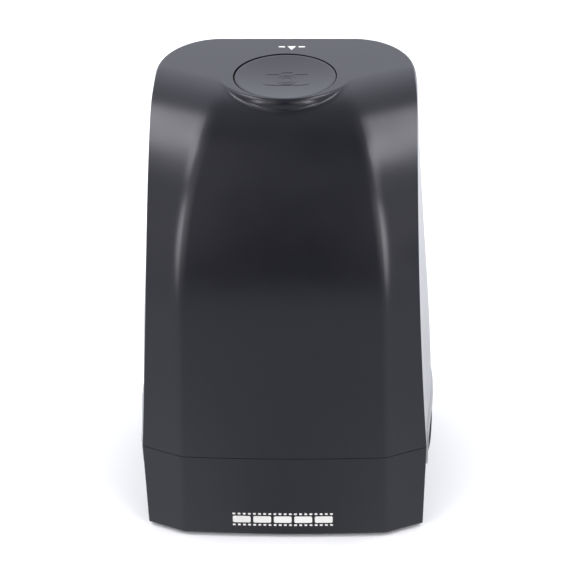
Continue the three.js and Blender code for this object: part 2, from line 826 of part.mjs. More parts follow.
// A wire through rings of points, with a fan on its first point at each end.
function tube(rings) {
  const count = rings[0].length;
  const index = [];
  for (let level = 0; level + 1 < rings.length; level++) {
    for (let i = 0; i < count; i++) {
      const here = level * count + i;
      const next = level * count + ((i + 1) % count);
      index.push(here, next + count, next, here, here + count, next + count);
    }
  }
  const last = (rings.length - 1) * count;
  for (let i = 1; i + 1 < count; i++) index.push(0, i, i + 1, last, last + i + 1, last + i);
  const geometry = new THREE.BufferGeometry();
  geometry.setAttribute("position", new THREE.BufferAttribute(new Float32Array(rings.flat(2)), 3));
  geometry.setIndex(index);
  return solidOf(geometry);
}

// An open box under the gate, with a ledge for the diffuser.
function lightBox() {
  const halfX = lightBoxWidth / 2;
  const halfY = lightBoxDepth / 2;
  const hollow = (margin, bottom) =>
    block(
      [margin - halfX, channelCentreY + margin - halfY, bottom],
      [halfX - margin, channelCentreY + halfY - margin, lightBoxTop + cutOverrun],
    );
  const outer = block(
    [-halfX, channelCentreY - halfY, lightBoxBottom],
    [halfX, channelCentreY + halfY, lightBoxTop],
  );
  return cut(
    outer,
    hollow(lightBoxWall + diffuserLedge, lightBoxBottom + lightBoxWall),
    hollow(lightBoxWall, diffuserBottom - seatGap),
  );
}

function diffuser() {
  const margin = 2 * (lightBoxWall + housingGap);
  return roundedSlab(
    lightBoxWidth - margin, lightBoxDepth - margin, diffuserLedge / 2, 0, channelCentreY,
    diffuserBottom, diffuserBottom + diffuserThickness,
  );
}

function ledBoard() {
  const margin = 2 * (lightBoxWall + diffuserLedge + housingGap);
  return roundedSlab(
    lightBoxWidth - margin, lightBoxDepth - margin, diffuserLedge / 2, 0, channelCentreY,
    ledBoardBottom, ledBoardBottom + boardThickness,
  );
}

function led(place) {
  const x = (place - (ledCount - 1) / 2) * ledSpacing;
  const packageBody = block(
    [x - ledWidth / 2, channelCentreY - ledDepth / 2, ledBottom],
    [x + ledWidth / 2, channelCentreY + ledDepth / 2, ledBottom + ledHeight],
  );
  const dish = column(
    ledDepth * ledDishShare, x, channelCentreY,
    ledBottom + ledHeight / 2, ledBottom + ledHeight + cutOverrun, roundSides / 2,
  );
  return cut(packageBody, dish);
}

// A tapered light-tight duct from the gate up to the lens.
function opticalTunnel() {
  const rectangle = (width, depth, z) => [
    [-width / 2, channelCentreY - depth / 2, z],
    [width / 2, channelCentreY - depth / 2, z],
    [width / 2, channelCentreY + depth / 2, z],
    [-width / 2, channelCentreY + depth / 2, z],
  ];
  const flangeTop = tunnelBottom + tunnelFlangeThickness;
  const footWidth = gateWidth + 2 * tunnelWall;
  const footDepth = gateDepth + 2 * tunnelWall;
  const throat = tunnelThroat + 2 * tunnelWall;
  const outer = loft([rectangle(footWidth, footDepth, tunnelBottom), rectangle(throat, throat, tunnelTop)]);
  const inner = loft([
    rectangle(gateWidth, gateDepth, tunnelBottom - cutOverrun),
    rectangle(gateWidth, gateDepth, tunnelBottom),
    rectangle(tunnelThroat, tunnelThroat, tunnelTop),
    rectangle(tunnelThroat, tunnelThroat, tunnelTop + cutOverrun),
  ]);
  const flange = block(
    [-footWidth / 2 - tunnelFlange, channelCentreY - footDepth / 2 - tunnelFlange, tunnelBottom],
    [footWidth / 2 + tunnelFlange, channelCentreY + footDepth / 2 + tunnelFlange, flangeTop],
  );
  return cut(join(outer, flange), inner);
}

// A square plate with a collar for the lens barrel and four posts for the sensor's board.
function lensHolder() {
  const half = holderWidth / 2;
  const front = channelCentreY - half;
  const rear = channelCentreY + half;
  const plate = block([-half, front, holderBottom], [half, rear, holderTop]);
  const bore = barrelRadius + housingGap;
  const collarTop = holderTop + holderCollarHeight;
  const collar = column(bore + holderCollarWall, 0, channelCentreY, holderBottom, collarTop);
  const posts = [[-1, -1], [1, -1], [-1, 1], [1, 1]].map(([right, back]) => {
    const x = right * (half - holderPost / 2);
    const y = channelCentreY + back * (half - holderPost / 2);
    return block(
      [x - holderPost / 2, y - holderPost / 2, holderBottom],
      [x + holderPost / 2, y + holderPost / 2, sensorBoardBottom - seatGap],
    );
  });
  const hole = column(bore, 0, channelCentreY, holderBottom - cutOverrun, collarTop + cutOverrun);
  return cut(join(plate, collar, ...posts), hole);
}

function lensBarrel() {
  const seat = barrelRadius - barrelCap;
  const tube = column(barrelRadius, 0, channelCentreY, barrelBottom, barrelTop);
  const bore = column(barrelBore, 0, channelCentreY, barrelBottom - cutOverrun, barrelTop + cutOverrun);
  const seatDepth = lensThickness + lensClearance;
  const seats = [
    column(seat, 0, channelCentreY, barrelBottom - cutOverrun, barrelBottom + seatDepth),
    column(seat, 0, channelCentreY, barrelTop - seatDepth, barrelTop + cutOverrun),
  ];
  return cut(tube, bore, ...seats);
}

// A lens element, domed on the side that faces out of the barrel.
function lens(bottom, facing) {
  const radius = barrelRadius - barrelCap - lensClearance;
  const low = facing < 0 ? lensCrown : 0;
  const high = lensThickness - (facing > 0 ? lensCrown : 0);
  const top = [];
  const under = [];
  for (let step = 0; step <= lensSteps; step++) {
    const share = step / lensSteps;
    const dome = lensCrown * (1 - share * share);
    top.push([radius * share, bottom + high + (facing > 0 ? dome : 0)]);
    under.unshift([radius * share, bottom + low - (facing < 0 ? dome : 0)]);
  }
  return turned([...top, ...under], 0, channelCentreY);
}

function infraredFilter() {
  const radius = barrelRadius - barrelCap / 2;
  return column(radius, 0, channelCentreY, filterBottom, filterBottom + filterThickness);
}

function sensorBoard() {
  const half = holderWidth / 2;
  return block(
    [-half, channelCentreY - half, sensorBoardBottom],
    [half, channelCentreY + half, sensorBoardBottom + boardThickness],
  );
}

function imageSensor() {
  const half = sensorWidth / 2;
  return block(
    [-half, channelCentreY - half, sensorBottom],
    [half, channelCentreY + half, sensorBottom + sensorHeight],
  );
}

function mainBoard() {
  const half = mainBoardWidth / 2;
  const board = block(
    [-half, mainBoardY, mainBoardBottom],
    [half, mainBoardRearY, mainBoardTop],
  );
  const bore = screwShankRadius + screwClearance;
  const holes = [-1, 1].map((side) =>
    spigot(bore, side * boardBossX, boardBossZ, mainBoardY - cutOverrun, mainBoardRearY + cutOverrun),
  );
  return cut(board, ...holes);
}

function chip(width, x, z) {
  return block(
    [x - width / 2, mainBoardY - seatGap - chipHeight, z - width / 2],
    [x + width / 2, mainBoardY - seatGap, z + width / 2],
  );
}

// The socket's metal shell, open to the rear.
function usbSocket() {
  const halfWidth = socketWidth / 2;
  const halfHeight = socketHeight / 2;
  const rear = backY(socketZ) - socketRecess;
  const shell = block(
    [-halfWidth, mainBoardRearY + seatGap, socketZ - halfHeight],
    [halfWidth, rear, socketZ + halfHeight],
  );
  const cavity = block(
    [socketWall - halfWidth, rear - socketCavity, socketZ + socketWall - halfHeight],
    [halfWidth - socketWall, rear + cutOverrun, socketZ + halfHeight - socketWall],
  );
  const tongue = block(
    [-halfWidth / 2, rear - socketCavity - socketWall, socketZ - socketWall / 2],
    [halfWidth / 2, rear - socketCavity / 3, socketZ + socketWall / 2],
  );
  return join(cut(shell, cavity), tongue);
}

// A flat flexible cable: a strip of constant thickness along a side-view path.
function ribbon(path, width, x) {
  const side = (direction) =>
    path.map(([y, z], i) => {
      const [y0, z0] = path[Math.max(i - 1, 0)];
      const [y1, z1] = path[Math.min(i + 1, path.length - 1)];
      const length = Math.hypot(y1 - y0, z1 - z0);
      const offset = (direction * ribbonThickness) / 2;
      return [y - ((z1 - z0) / length) * offset, z + ((y1 - y0) / length) * offset];
    });
  return acrossX([...side(-1), ...side(1).reverse()], x - width / 2, x + width / 2);
}

function sensorRibbon() {
  const start = channelCentreY + holderWidth / 2 - ribbonBend;
  const high = sensorBoardBottom + boardThickness + seatGap + ribbonThickness / 2;
  const end = mainBoardY - seatGap - ribbonThickness / 2;
  const low = Math.min(mainBoardTop - ribbonLap, high - ribbonBend * 2);
  const points = [
    [start, high],
    [end - ribbonBend, high],
    [end - ribbonBend * ribbonCornerShare, high - ribbonBend * ribbonCornerShare],
    [end, high - ribbonBend],
    [end, low],
  ];
  return ribbon(points, ribbonWidth, 0);
}

function buttonCarrier() {
  const plate = roundedSlab(
    2 * carrierHalfWidth, carrierDepth, bossRadius, 0, buttonY, carrierBottom, carrierTop,
  );
  const holes = [-1, 1].map((side) =>
    column(
      screwShankRadius + screwClearance, side * carrierBossX, buttonY,
      carrierBottom - cutOverrun, carrierTop + cutOverrun, roundSides / 2,
    ),
  );
  return cut(plate, ...holes);
}

function buttonBoard() {
  return roundedSlab(
    buttonBoardWidth, carrierDepth - bossRadius, bossRadius / 2, 0, buttonY,
    buttonBoardTop - boardThickness, buttonBoardTop,
  );
}

function switchBody() {
  const half = switchWidth / 2;
  const body = block([-half, buttonY - half, switchBottom], [half, buttonY + half, switchTop]);
  const floor = switchTop - plungerProud - buttonTravel - plungerClearance;
  const bore = plungerRadius + plungerClearance;
  return cut(body, column(bore, 0, buttonY, floor, switchTop + cutOverrun, roundSides / 2));
}

function switchPlunger() {
  return column(plungerRadius, 0, buttonY, switchTop - plungerProud, plungerTop, roundSides / 2);
}

// The dished button, with a skirt, a stem for the switch and a lip that keeps it in its well.
function captureButton() {
  const dishRadius = buttonRadius - buttonRim;
  const inside = buttonRadius - buttonSkin;
  const skirtBottom = buttonTop - buttonSkirt;
  const dish = [];
  for (let step = 0; step <= dishSteps; step++) {
    const share = step / dishSteps;
    dish.push([dishRadius * share, buttonTop - buttonDish * (1 - share * share)]);
  }
  const cap = turned(
    [
      ...dish,
      [buttonRadius - buttonEdge, buttonTop],
      [buttonRadius, buttonTop - buttonEdge],
      [buttonRadius, skirtBottom],
      [inside, skirtBottom],
      [inside, buttonUnderside],
      [stemRadius, buttonUnderside],
      [stemRadius, stemBottom],
      [0, stemBottom],
    ],
    0, buttonY, buttonSides,
  );
  const lipTop = bodyHeight - wall - seatGap - housingGap;
  const outer = buttonRadius + retainerReach;
  const lip = column(outer, 0, buttonY, lipTop - retainerThickness, lipTop, buttonSides);
  const core = column(inside, 0, buttonY, skirtBottom - cutOverrun, bodyHeight);
  const front = block(
    [-outer - cutOverrun, buttonY - outer - cutOverrun, skirtBottom - cutOverrun],
    [outer + cutOverrun, buttonY - retainerFrontReach, bodyHeight],
  );
  return join(cap, cut(lip, core, front));
}

const scanner = new THREE.Group();
const body = new THREE.Group();
body.position.z = footStand;
scanner.add(body);

function add(name, solid, material) {
  const mesh = new THREE.Mesh(geometryOf(solid), material);
  mesh.name = name;
  body.add(mesh);
  return mesh;
}

// A screw placed by its seat, pointing up, down or to the rear.
function addScrew(name, place, turn = [0, 0, 0]) {
  const mesh = add(name, screw(), finishes.steel);
  mesh.position.set(...place);
  mesh.rotation.set(...turn);
}

const sideNames = [[-1, "left"], [1, "right"]];
const cornerNames = ["front_left", "front_right", "rear_left", "rear_right"];

const shell = cut(housingSolid(), housingSolid(wall));
add("front_cover", frontCover(shell), finishes.charcoal);
add("base_cover", shellPiece(shell, baseCoverOutline()), finishes.charcoal);
add("rear_cover", rearCover(shell), finishes.charcoal);
for (const [side, sideName] of sideNames) add(`side_panel_${sideName}`, sidePanel(side), finishes.silver);

add("bottom_plate", bottomPlate(), finishes.charcoal);
cornerNames.forEach((corner, i) => {
  const [x, y] = columnPlaces[i];
  add(`foot_${corner}`, foot(footPlaces[i]), finishes.rubber);
  addScrew(`base_screw_${corner}`, [x, y, plateInset + screwHeadHeight]);
  addScrew(`guide_screw_${corner}`, [x, y, upperGuideTop + seatGap], [Math.PI, 0, 0]);
});

add("film_guide_lower", lowerGuide(), finishes.blackPlastic);
add("film_guide_upper", upperGuide(), finishes.blackPlastic);
for (const [side, sideName] of sideNames) {
  add(`film_detent_${sideName}`, detent(side), finishes.steel);
  add(`detent_spring_${sideName}`, detentSpring(side), finishes.steel);
}

add("light_box", lightBox(), finishes.whitePlastic);
add("diffuser", diffuser(), finishes.opal);
add("led_board", ledBoard(), finishes.laminate);
for (let place = 0; place < ledCount; place++) add(`led_${place + 1}`, led(place), finishes.ledWhite);

add("optical_tunnel", opticalTunnel(), finishes.blackPlastic);
add("lens_holder", lensHolder(), finishes.blackPlastic);
add("lens_barrel", lensBarrel(), finishes.blackPlastic);
add("lens_lower", lens(barrelBottom, -1), finishes.glass);
add("lens_upper", lens(barrelTop - lensThickness, 1), finishes.glass);
add("infrared_filter", infraredFilter(), finishes.glass);
add("image_sensor", imageSensor(), finishes.chip);
add("sensor_board", sensorBoard(), finishes.laminate);
add("sensor_ribbon", sensorRibbon(), finishes.flex);

add("main_board", mainBoard(), finishes.laminate);
const imageChip = chip(largeChipWidth, 0, mainBoardBottom + mainBoardHeight / 3);
const memoryChip = chip(smallChipWidth, -largeChipWidth, mainBoardBottom + mainBoardHeight / 2);
add("image_chip", imageChip, finishes.chip);
add("memory_chip", memoryChip, finishes.chip);
add("usb_socket", usbSocket(), finishes.steel);
for (const [side, sideName] of sideNames) {
  const boardPlace = [side * boardBossX, mainBoardY - seatGap, boardBossZ];
  addScrew(`board_screw_${sideName}`, boardPlace, [-Math.PI / 2, 0, 0]);
  addScrew(`carrier_screw_${sideName}`, [side * carrierBossX, buttonY, carrierBottom - seatGap]);
}

add("button_carrier", buttonCarrier(), finishes.blackPlastic);
add("button_board", buttonBoard(), finishes.laminate);
add("switch_body", switchBody(), finishes.blackPlastic);
add("switch_plunger", switchPlunger(), finishes.blackPlastic);
add("capture_button", captureButton(), finishes.charcoalButton);

export default scanner;
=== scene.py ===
import json
import math
from collections import namedtuple

import bmesh
import bpy
from mathutils import Matrix, Vector


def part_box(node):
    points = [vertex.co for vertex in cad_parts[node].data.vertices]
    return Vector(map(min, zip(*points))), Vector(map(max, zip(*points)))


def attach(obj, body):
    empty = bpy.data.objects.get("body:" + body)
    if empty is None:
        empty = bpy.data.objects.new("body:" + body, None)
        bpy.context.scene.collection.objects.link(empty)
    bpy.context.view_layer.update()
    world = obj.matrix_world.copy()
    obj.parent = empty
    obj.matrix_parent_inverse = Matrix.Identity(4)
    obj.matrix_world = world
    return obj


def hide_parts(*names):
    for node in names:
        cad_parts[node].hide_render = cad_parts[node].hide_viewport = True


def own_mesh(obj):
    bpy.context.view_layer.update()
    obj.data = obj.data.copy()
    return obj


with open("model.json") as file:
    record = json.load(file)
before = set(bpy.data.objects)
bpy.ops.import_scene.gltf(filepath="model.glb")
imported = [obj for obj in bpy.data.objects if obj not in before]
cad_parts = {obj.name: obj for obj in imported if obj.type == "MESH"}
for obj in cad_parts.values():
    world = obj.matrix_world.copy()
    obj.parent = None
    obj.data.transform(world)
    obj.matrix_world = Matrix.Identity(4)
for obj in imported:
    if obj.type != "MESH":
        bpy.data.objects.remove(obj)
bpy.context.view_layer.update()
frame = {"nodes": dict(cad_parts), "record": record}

# Sizes in millimetres, turned into metres where a mesh is made. Heights are taken from the lower rim
# of the base, which stands on its feet.
MM = 0.001
STAND = 0.8
INK_RISE = 0.02
BODY_HEIGHT = 124.0 - INK_RISE
BODY_DEPTH = 86.0
SEAM_HEIGHT = 27.0
WALL = 2.0
GAP = 0.3
SEAM_GAP = 0.18
OVERRUN = 2.0

RIM_HALF_WIDTH = 41.0
SEAM_HALF_WIDTH = 42.0
TOP_HALF_WIDTH = 39.0
FACET_HALF_WIDTH = 30.2
CENTRE_ROLL_Y = 12.0
SIDE_ROLL_Y = 18.1
FACET_SLOPE = 0.5
FRONT_CROWN = 1.0
LOW_CREASE_BLEND = 0.4
HIGH_CREASE_BLEND = 1.2
CREASE_EASE = 5.7
REAR_TAPER = 1.4
REAR_CORNER_WIDTH = 18.0
REAR_CORNER_DEPTH = 22.0
TOP_EDGE_WIDTH = 1.4
TOP_EDGE_DEPTH = 6.0
RIM_ROUND = 0.8
NOSE_RADIUS = 22.8
NOSE_FRONT_Y = -2.3
NOSE_BLEND = 1.8
NOSE_EDGE_WIDTH = 1.7
NOSE_EDGE_DEPTH = 3.0

PARTING_LAND = 1.0
TOP_SKIRT = 4.8
PANEL_BOTTOM = 15.0
PANEL_REAR_Y = 28.0
PANEL_WALL = 2.0
PANEL_SEAM_BULGE = 1.5
PANEL_TOP_BULGE = 0.3
PANEL_FOOT_BULGE = 0.5
PANEL_HUMP = 1.1
HUMP_PEAK = 4 / 27
PANEL_EDGE_ROUND = 0.4
BACKING_REACH = 1.2
BACKING_THICKNESS = 0.6
BACKING_GAP = 0.1
BACKING_MARGIN = 1.0

CHANNEL_CENTRE_Y = -3.0
CHANNEL_WIDTH = 54.0
CHANNEL_HEIGHT = 6.5
CHANNEL_FLOOR = 20.0
MOUTH_CORNER = 1.5
LIP_WIDTH = 1.4
LIP_RISE = 0.69
LIP_DROP = 1.8
LIP_EDGE = 0.3
SILL_RISE = 1.27
SILL_THICKNESS = 0.6
SILL_TAPER = 11.0
SILL_EDGE = 0.1

BUTTON_X = 0.1
BUTTON_Y = 14.5
BUTTON_RADIUS = 15.0
BUTTON_GAP = 0.3
BUTTON_SINK = 0.2
BUTTON_DISH = 1.1
BUTTON_RIM = 0.7
BUTTON_EDGE = 0.2
BUTTON_SKIN = 1.6
BUTTON_SKIRT = 4.0
WELL_DEPTH = 5.5
WELL_ROUND = 0.1
WELL_STEPS = 4
STEM_RADIUS = 2.5
STEM_LENGTH = 4.5
RETAINER_REACH = 1.6
RETAINER_THICKNESS = 1.5
RETAINER_FRONT_REACH = 6.9
SEAT_GAP = 0.1

# The button's carrier hangs from two bosses under the top.
BOSS_RADIUS = 3.0
SCREW_BORE = 1.3
BOSS_CLEARANCE = 1.4
CARRIER_BOSS_X = BUTTON_RADIUS + RETAINER_REACH + BOSS_RADIUS + BOSS_CLEARANCE
CARRIER_TOP = 110.0
CARRIER_SCREW_TOP = 116.3

# Main board and its socket, behind the rear cover's opening.
BOARD_REAR_Y = 34.1
BOARD_BOSS_X = 16.0
BOARD_BOSS_Z = 62.0
SOCKET_Z = 24.0
SOCKET_WIDTH = 7.7
SOCKET_HEIGHT = 4.0
SOCKET_WALL = 0.5
SOCKET_RECESS = 0.5
SOCKET_CAVITY = 6.0
SOCKET_CORNER = 1.0
TONGUE_EDGE = 0.1
CONTACT_PITCH_SHARE = 1 / 2.6
CONTACT_WIDTH_SHARE = 1 / 8
OPENING_CLEARANCE = 0.5
OPENING_CORNER = 1.2
OPENING_CHAMFER = 0.5

# Bottom plate, feet, screws and detent springs.
PLATE_INSET = 0.4
PLATE_THICKNESS = 2.6
PLATE_EDGE = 0.4
FOOT_RADIUS = 4.5
FOOT_POCKET = 0.6
FOOT_EDGE = 0.4
FOOT_PLACES = [(-24.0, -33.0), (24.0, -33.0), (-24.0, 31.0), (24.0, 31.0)]
SCREW_PLACES = [(-33.0, -33.0), (33.0, -33.0), (-33.0, 27.0), (33.0, 27.0)]
CORNERS = ["front_left", "front_right", "rear_left", "rear_right"]
SCREW_HEAD_RADIUS = 2.3
SCREW_HEAD_HEIGHT = 1.2
SCREW_SHANK_RADIUS = 1.0
SCREW_LENGTH = 8.0
SCREW_CLEARANCE = 0.3
SCREW_EDGE = 0.35
RECESS_ARM = 1.3
RECESS_ARM_WIDTH = 0.5
RECESS_DEPTH = 0.6
SPRING_WIRE = 0.5
SPRING_RADIUS = 1.6
SPRING_TURNS = 6
SPRING_STEPS = 24
SPRING_WIRE_SIDES = 10

# Relief and print.
CAMERA_WIDTH = 13.4
CAMERA_HEIGHT = 7.2
CAMERA_HUMP = 1.3
CAMERA_HUMP_WIDTH = 4.6
CAMERA_CORNER = 1.3
CAMERA_CORNER_STEPS = 6
CAMERA_CENTRE_X = 0.5
CAMERA_CENTRE_Y = 14.2
LENS_RADII = (3.0, 1.7)
RELIEF_WIDTH = 0.6
RELIEF_RISE = 0.12
RELIEF_SINK_SHARE = 0.1
# The printed corners are each a radius and a number of steps.
FILM_FRAMES = 5
FILM_FRAME_PITCH = 6.1
FILM_FRAME_SIZE = (5.3, 2.3)
FILM_FRAME_CORNER = (0.45, 4)
FILM_HOLES_PER_FRAME = 4
FILM_HOLE_SIZE = (0.85, 0.6)
FILM_HOLE_CORNER = (0.18, 3)
FILM_HOLE_OFFSET = 1.95
FILM_CENTRE_X = -0.6
FILM_CENTRE_Z = 5.6
POINTER_PLACE = (1.4, 33.6)
POINTER_SIZE = (2.6, 2.6)
POINTER_BAR = (2.0, 0.8)
POINTER_GAP = 0.7
POINTER_BAR_CORNER = (POINTER_BAR[1] / 2.2, 4)

FRONT_Y = INK_RISE - BODY_DEPTH / 2
REAR_Y = BODY_DEPTH / 2
NOSE_CENTRE_Y = NOSE_FRONT_Y + NOSE_RADIUS
CAP_BOTTOM = BODY_HEIGHT - TOP_SKIRT
BUTTON_TOP = BODY_HEIGHT - BUTTON_SINK

UP = Vector((0, 0, 1))
FORWARD = Vector((0, -1, 0))


# Shape functions: the housing's horizontal section at any height.

def soft_max(a, b, blend):
    near = max(blend - abs(a - b), 0) / blend
    return max(a, b) + near * near * blend / 4


def soft_min(a, b, blend):
    return -soft_max(-a, -b, blend)


def draw_in(round_, distance):
    along = min(max(distance, 0), round_)
    return round_ - math.sqrt(round_ * round_ - along * along)


def cover_half_width(z):
    if z < SEAM_HEIGHT:
        return RIM_HALF_WIDTH + (SEAM_HALF_WIDTH - RIM_HALF_WIDTH) * z / SEAM_HEIGHT
    share = (z - SEAM_HEIGHT) / (BODY_HEIGHT - SEAM_HEIGHT)
    return TOP_HALF_WIDTH + (SEAM_HALF_WIDTH - TOP_HALF_WIDTH) * (1 - share) ** 2


def rear_y(z):
    return REAR_Y - REAR_TAPER * z / BODY_HEIGHT


# Halvings until the facet's face and the side meet.
MEETING_STEPS = 12


class Section:
    """The housing's outline at a height, inset from its outer surface."""

    def __init__(self, z, inset=0.0):
        self.z = z
        edge = 0.0
        if not inset:
            top_rise = max(z - BODY_HEIGHT + TOP_EDGE_DEPTH, 0) / TOP_EDGE_DEPTH
            edge = draw_in(TOP_EDGE_WIDTH, TOP_EDGE_WIDTH * top_rise) + draw_in(RIM_ROUND, RIM_ROUND - z)
        self.half_width = cover_half_width(z) - inset - edge
        self.rear = rear_y(z) - inset - edge
        share = min(max((z - SEAM_HEIGHT) / (BODY_HEIGHT - inset - SEAM_HEIGHT), 0), 1)
        back = math.cos(math.asin(share))
        self.crease_blend = LOW_CREASE_BLEND + (HIGH_CREASE_BLEND - LOW_CREASE_BLEND) * share
        rim = edge if z < SEAM_HEIGHT else 0.0
        self.centre = CENTRE_ROLL_Y - (CENTRE_ROLL_Y - FRONT_Y - inset - rim) * back
        spread = SIDE_ROLL_Y - CENTRE_ROLL_Y - FRONT_CROWN
        slant = math.hypot(1, FACET_SLOPE) - 1
        lean = (inset + rim) * slant * back
        self.side = self.centre + FRONT_CROWN + lean + spread * share ** CREASE_EASE
        nose_edge = 0.0
        if not inset:
            above = max(z - BODY_HEIGHT + NOSE_EDGE_DEPTH, 0) / NOSE_EDGE_DEPTH
            nose_edge = draw_in(NOSE_EDGE_WIDTH, NOSE_EDGE_WIDTH * above)
        self.nose = NOSE_RADIUS - inset - nose_edge
        self.facet_end_x = self.half_width
        for _ in range(MEETING_STEPS):
            self.facet_end_x = (self.facet_end_x + self.side_x(self.face_y(self.facet_end_x))) / 2
        self.facet_end_y = self.face_y(self.facet_end_x)
        crease = FACET_HALF_WIDTH + (self.centre + FRONT_CROWN - self.side) / FACET_SLOPE
        self.crease_x = min(crease, self.facet_end_x)

    def face_y(self, x):
        centre = self.centre + FRONT_CROWN * (x / FACET_HALF_WIDTH) ** 2
        side = self.side + FACET_SLOPE * (abs(x) - FACET_HALF_WIDTH)
        nose = NOSE_CENTRE_Y - math.sqrt(max(self.nose ** 2 - x * x, 0))
        return soft_min(soft_max(centre, side, self.crease_blend), nose, NOSE_BLEND)

    def side_x(self, y):
        share = min(max(y - (self.rear - REAR_CORNER_DEPTH), 0) / REAR_CORNER_DEPTH, 1)
        return self.half_width - REAR_CORNER_WIDTH * (1 - math.sqrt(1 - share * share))

    def ring(self, centre_steps, facet_steps, side_steps):
        half = [self.crease_x * step / centre_steps for step in range(centre_steps)]
        span = self.facet_end_x - self.crease_x
        half += [self.crease_x + span * step / facet_steps for step in range(facet_steps + 1)]
        across = [-x for x in reversed(half[1:])] + half
        front = [(x, self.face_y(x), self.z) for x in across]
        right = []
        for step in range(1, side_steps + 1):
            share = math.sin(step / side_steps * math.pi / 2)
            y = self.facet_end_y + (self.rear - self.facet_end_y) * share
            right.append((self.side_x(y), y, self.z))
        left = [(-x, y, z) for x, y, z in reversed(right)]
        return front + right + left


def roll_levels(bottom, top, steps):
    """Heights spaced evenly by the angle round the rolling front, between two heights."""
    rise = top - SEAM_HEIGHT
    start = math.asin(max((bottom - SEAM_HEIGHT) / rise, 0))
    angles = [start + (math.pi / 2 - start) * i / steps for i in range(steps + 1)]
    return [SEAM_HEIGHT + rise * math.sin(angle) for angle in angles]


def even_levels(bottom, top, steps):
    return [bottom + (top - bottom) * i / steps for i in range(steps + 1)]


EDGE_STEPS = 5


def eased(depth, steps):
    """Distances from zero to a depth, closer together near zero."""
    return [depth * (1 - math.cos(math.pi / 2 * i / steps)) for i in range(steps + 1)]


def turned_edge(radius, height, edge, upward):
    """Points of (radius, height) round a turned solid's edge, from its flat outwards. Upward is 1 or -1."""
    angles = [math.pi / 2 * i / EDGE_STEPS for i in range(EDGE_STEPS + 1)]
    return [
        (radius - edge + edge * math.sin(angle), height - upward * edge * (1 - math.cos(angle)))
        for angle in angles
    ]


# Mesh helpers. Points are in millimetres above the lower rim.

def placed(name, data):
    obj = bpy.data.objects.new(name, data)
    bpy.context.scene.collection.objects.link(obj)
    return obj


def new_object(name, points, faces):
    mesh = bpy.data.meshes.new(name)
    mesh.from_pydata([(x * MM, y * MM, (z + STAND) * MM) for x, y, z in points], [], faces)
    mesh.validate()
    return placed(name, mesh)


def loft(name, rings):
    count = len(rings[0])
    points = [point for ring in rings for point in ring]
    faces = []
    for level in range(len(rings) - 1):
        for i in range(count):
            here = level * count + i
            beside = level * count + (i + 1) % count
            faces.append((here, beside, beside + count, here + count))
    faces.append(tuple(reversed(range(count))))
    last = (len(rings) - 1) * count
    faces.append(tuple(range(last, last + count)))
    return new_object(name, points, faces)


def turned(name, profile, x, y, sides):
    """A profile of (radius, height) points, from the axis at the top to the axis below, turned about Z."""
    points = [(x, y, profile[0][1])]
    inner = profile[1:-1]
    for radius, height in inner:
        points += [(px, py, height) for px, py in round_outline(x, y, radius, sides)]
    points.append((x, y, profile[-1][1]))
    faces = [(0, 1 + i, 1 + (i + 1) % sides) for i in range(sides)]
    for level in range(len(inner) - 1):
        for i in range(sides):
            here = 1 + level * sides + i
            beside = 1 + level * sides + (i + 1) % sides
            faces.append((here, here + sides, beside + sides, beside))
    base = 1 + (len(inner) - 1) * sides
    end = len(points) - 1
    faces += [(base + (i + 1) % sides, base + i, end) for i in range(sides)]
    return new_object(name, points, faces)


def rod(name, radius, x, y, bottom, top, sides=48):
    return turned(name, [(0, top), (radius, top), (radius, bottom), (0, bottom)], x, y, sides)


def prism(name, near, far):
    """A solid between two outlines with as many points as each other."""
    obj = loft(name, [near, far])
    face_outwards(obj)
    return obj


def along_y(name, outline, front, rear):
    """A front-view outline of (x, z) points, extruded between two y places."""
    return prism(name, [(x, front, z) for x, z in outline], [(x, rear, z) for x, z in outline])


def round_outline(x, z, radius, sides=40):
    angles = [2 * math.pi * i / sides for i in range(sides)]
    return [(x + radius * math.cos(angle), z + radius * math.sin(angle)) for angle in angles]


def across_x(name, outline, left, right):
    """A side-view outline of (y, z) points, extruded between two x places."""
    return prism(name, [(left, y, z) for y, z in outline], [(right, y, z) for y, z in outline])


def face_outwards(obj):
    mesh = bmesh.new()
    mesh.from_mesh(obj.data)
    bmesh.ops.recalc_face_normals(mesh, faces=mesh.faces)
    mesh.to_mesh(obj.data)
    mesh.free()


def face_towards(obj, direction):
    """Turns over the faces that look away from a direction."""
    mesh = bmesh.new()
    mesh.from_mesh(obj.data)
    mesh.normal_update()
    for face in mesh.faces:
        if face.normal.dot(direction) < 0:
            face.normal_flip()
    mesh.to_mesh(obj.data)
    mesh.free()


def block(name, low_corner, high_corner):
    (x0, y0, z0), (x1, y1, z1) = low_corner, high_corner
    return across_x(name, [(y0, z0), (y1, z0), (y1, z1), (y0, z1)], x0, x1)


def rounded_outline(width, height, corner, steps):
    """Points round a rectangle with round corners, centred on zero."""
    points = []
    for quarter, (sx, sy) in enumerate([(1, 1), (-1, 1), (-1, -1), (1, -1)]):
        for i in range(steps + 1):
            angle = (quarter + i / steps) * math.pi / 2
            points.append((
                sx * (width / 2 - corner) + corner * math.cos(angle),
                sy * (height / 2 - corner) + corner * math.sin(angle),
            ))
    return points


def joined_objects(name, pieces):
    """One object from several that don't touch."""
    mesh = bmesh.new()
    for piece in pieces:
        mesh.from_mesh(piece.data)
        bpy.data.objects.remove(piece)
    data = bpy.data.meshes.new(name)
    mesh.to_mesh(data)
    mesh.free()
    return placed(name, data)


def apply_modifiers(obj):
    graph = bpy.context.evaluated_depsgraph_get()
    made = bpy.data.meshes.new_from_object(obj.evaluated_get(graph))
    obj.modifiers.clear()
    obj.data = made


def boolean(obj, operation, *others):
    """Applies a boolean with each other solid, then removes the others."""
    for other in others:
        modifier = obj.modifiers.new(operation, "BOOLEAN")
        modifier.operation = operation
        modifier.solver = "MANIFOLD"
        modifier.object = other
        apply_modifiers(obj)
        bpy.data.objects.remove(other)


def cut(obj, *others):
    boolean(obj, "DIFFERENCE", *others)


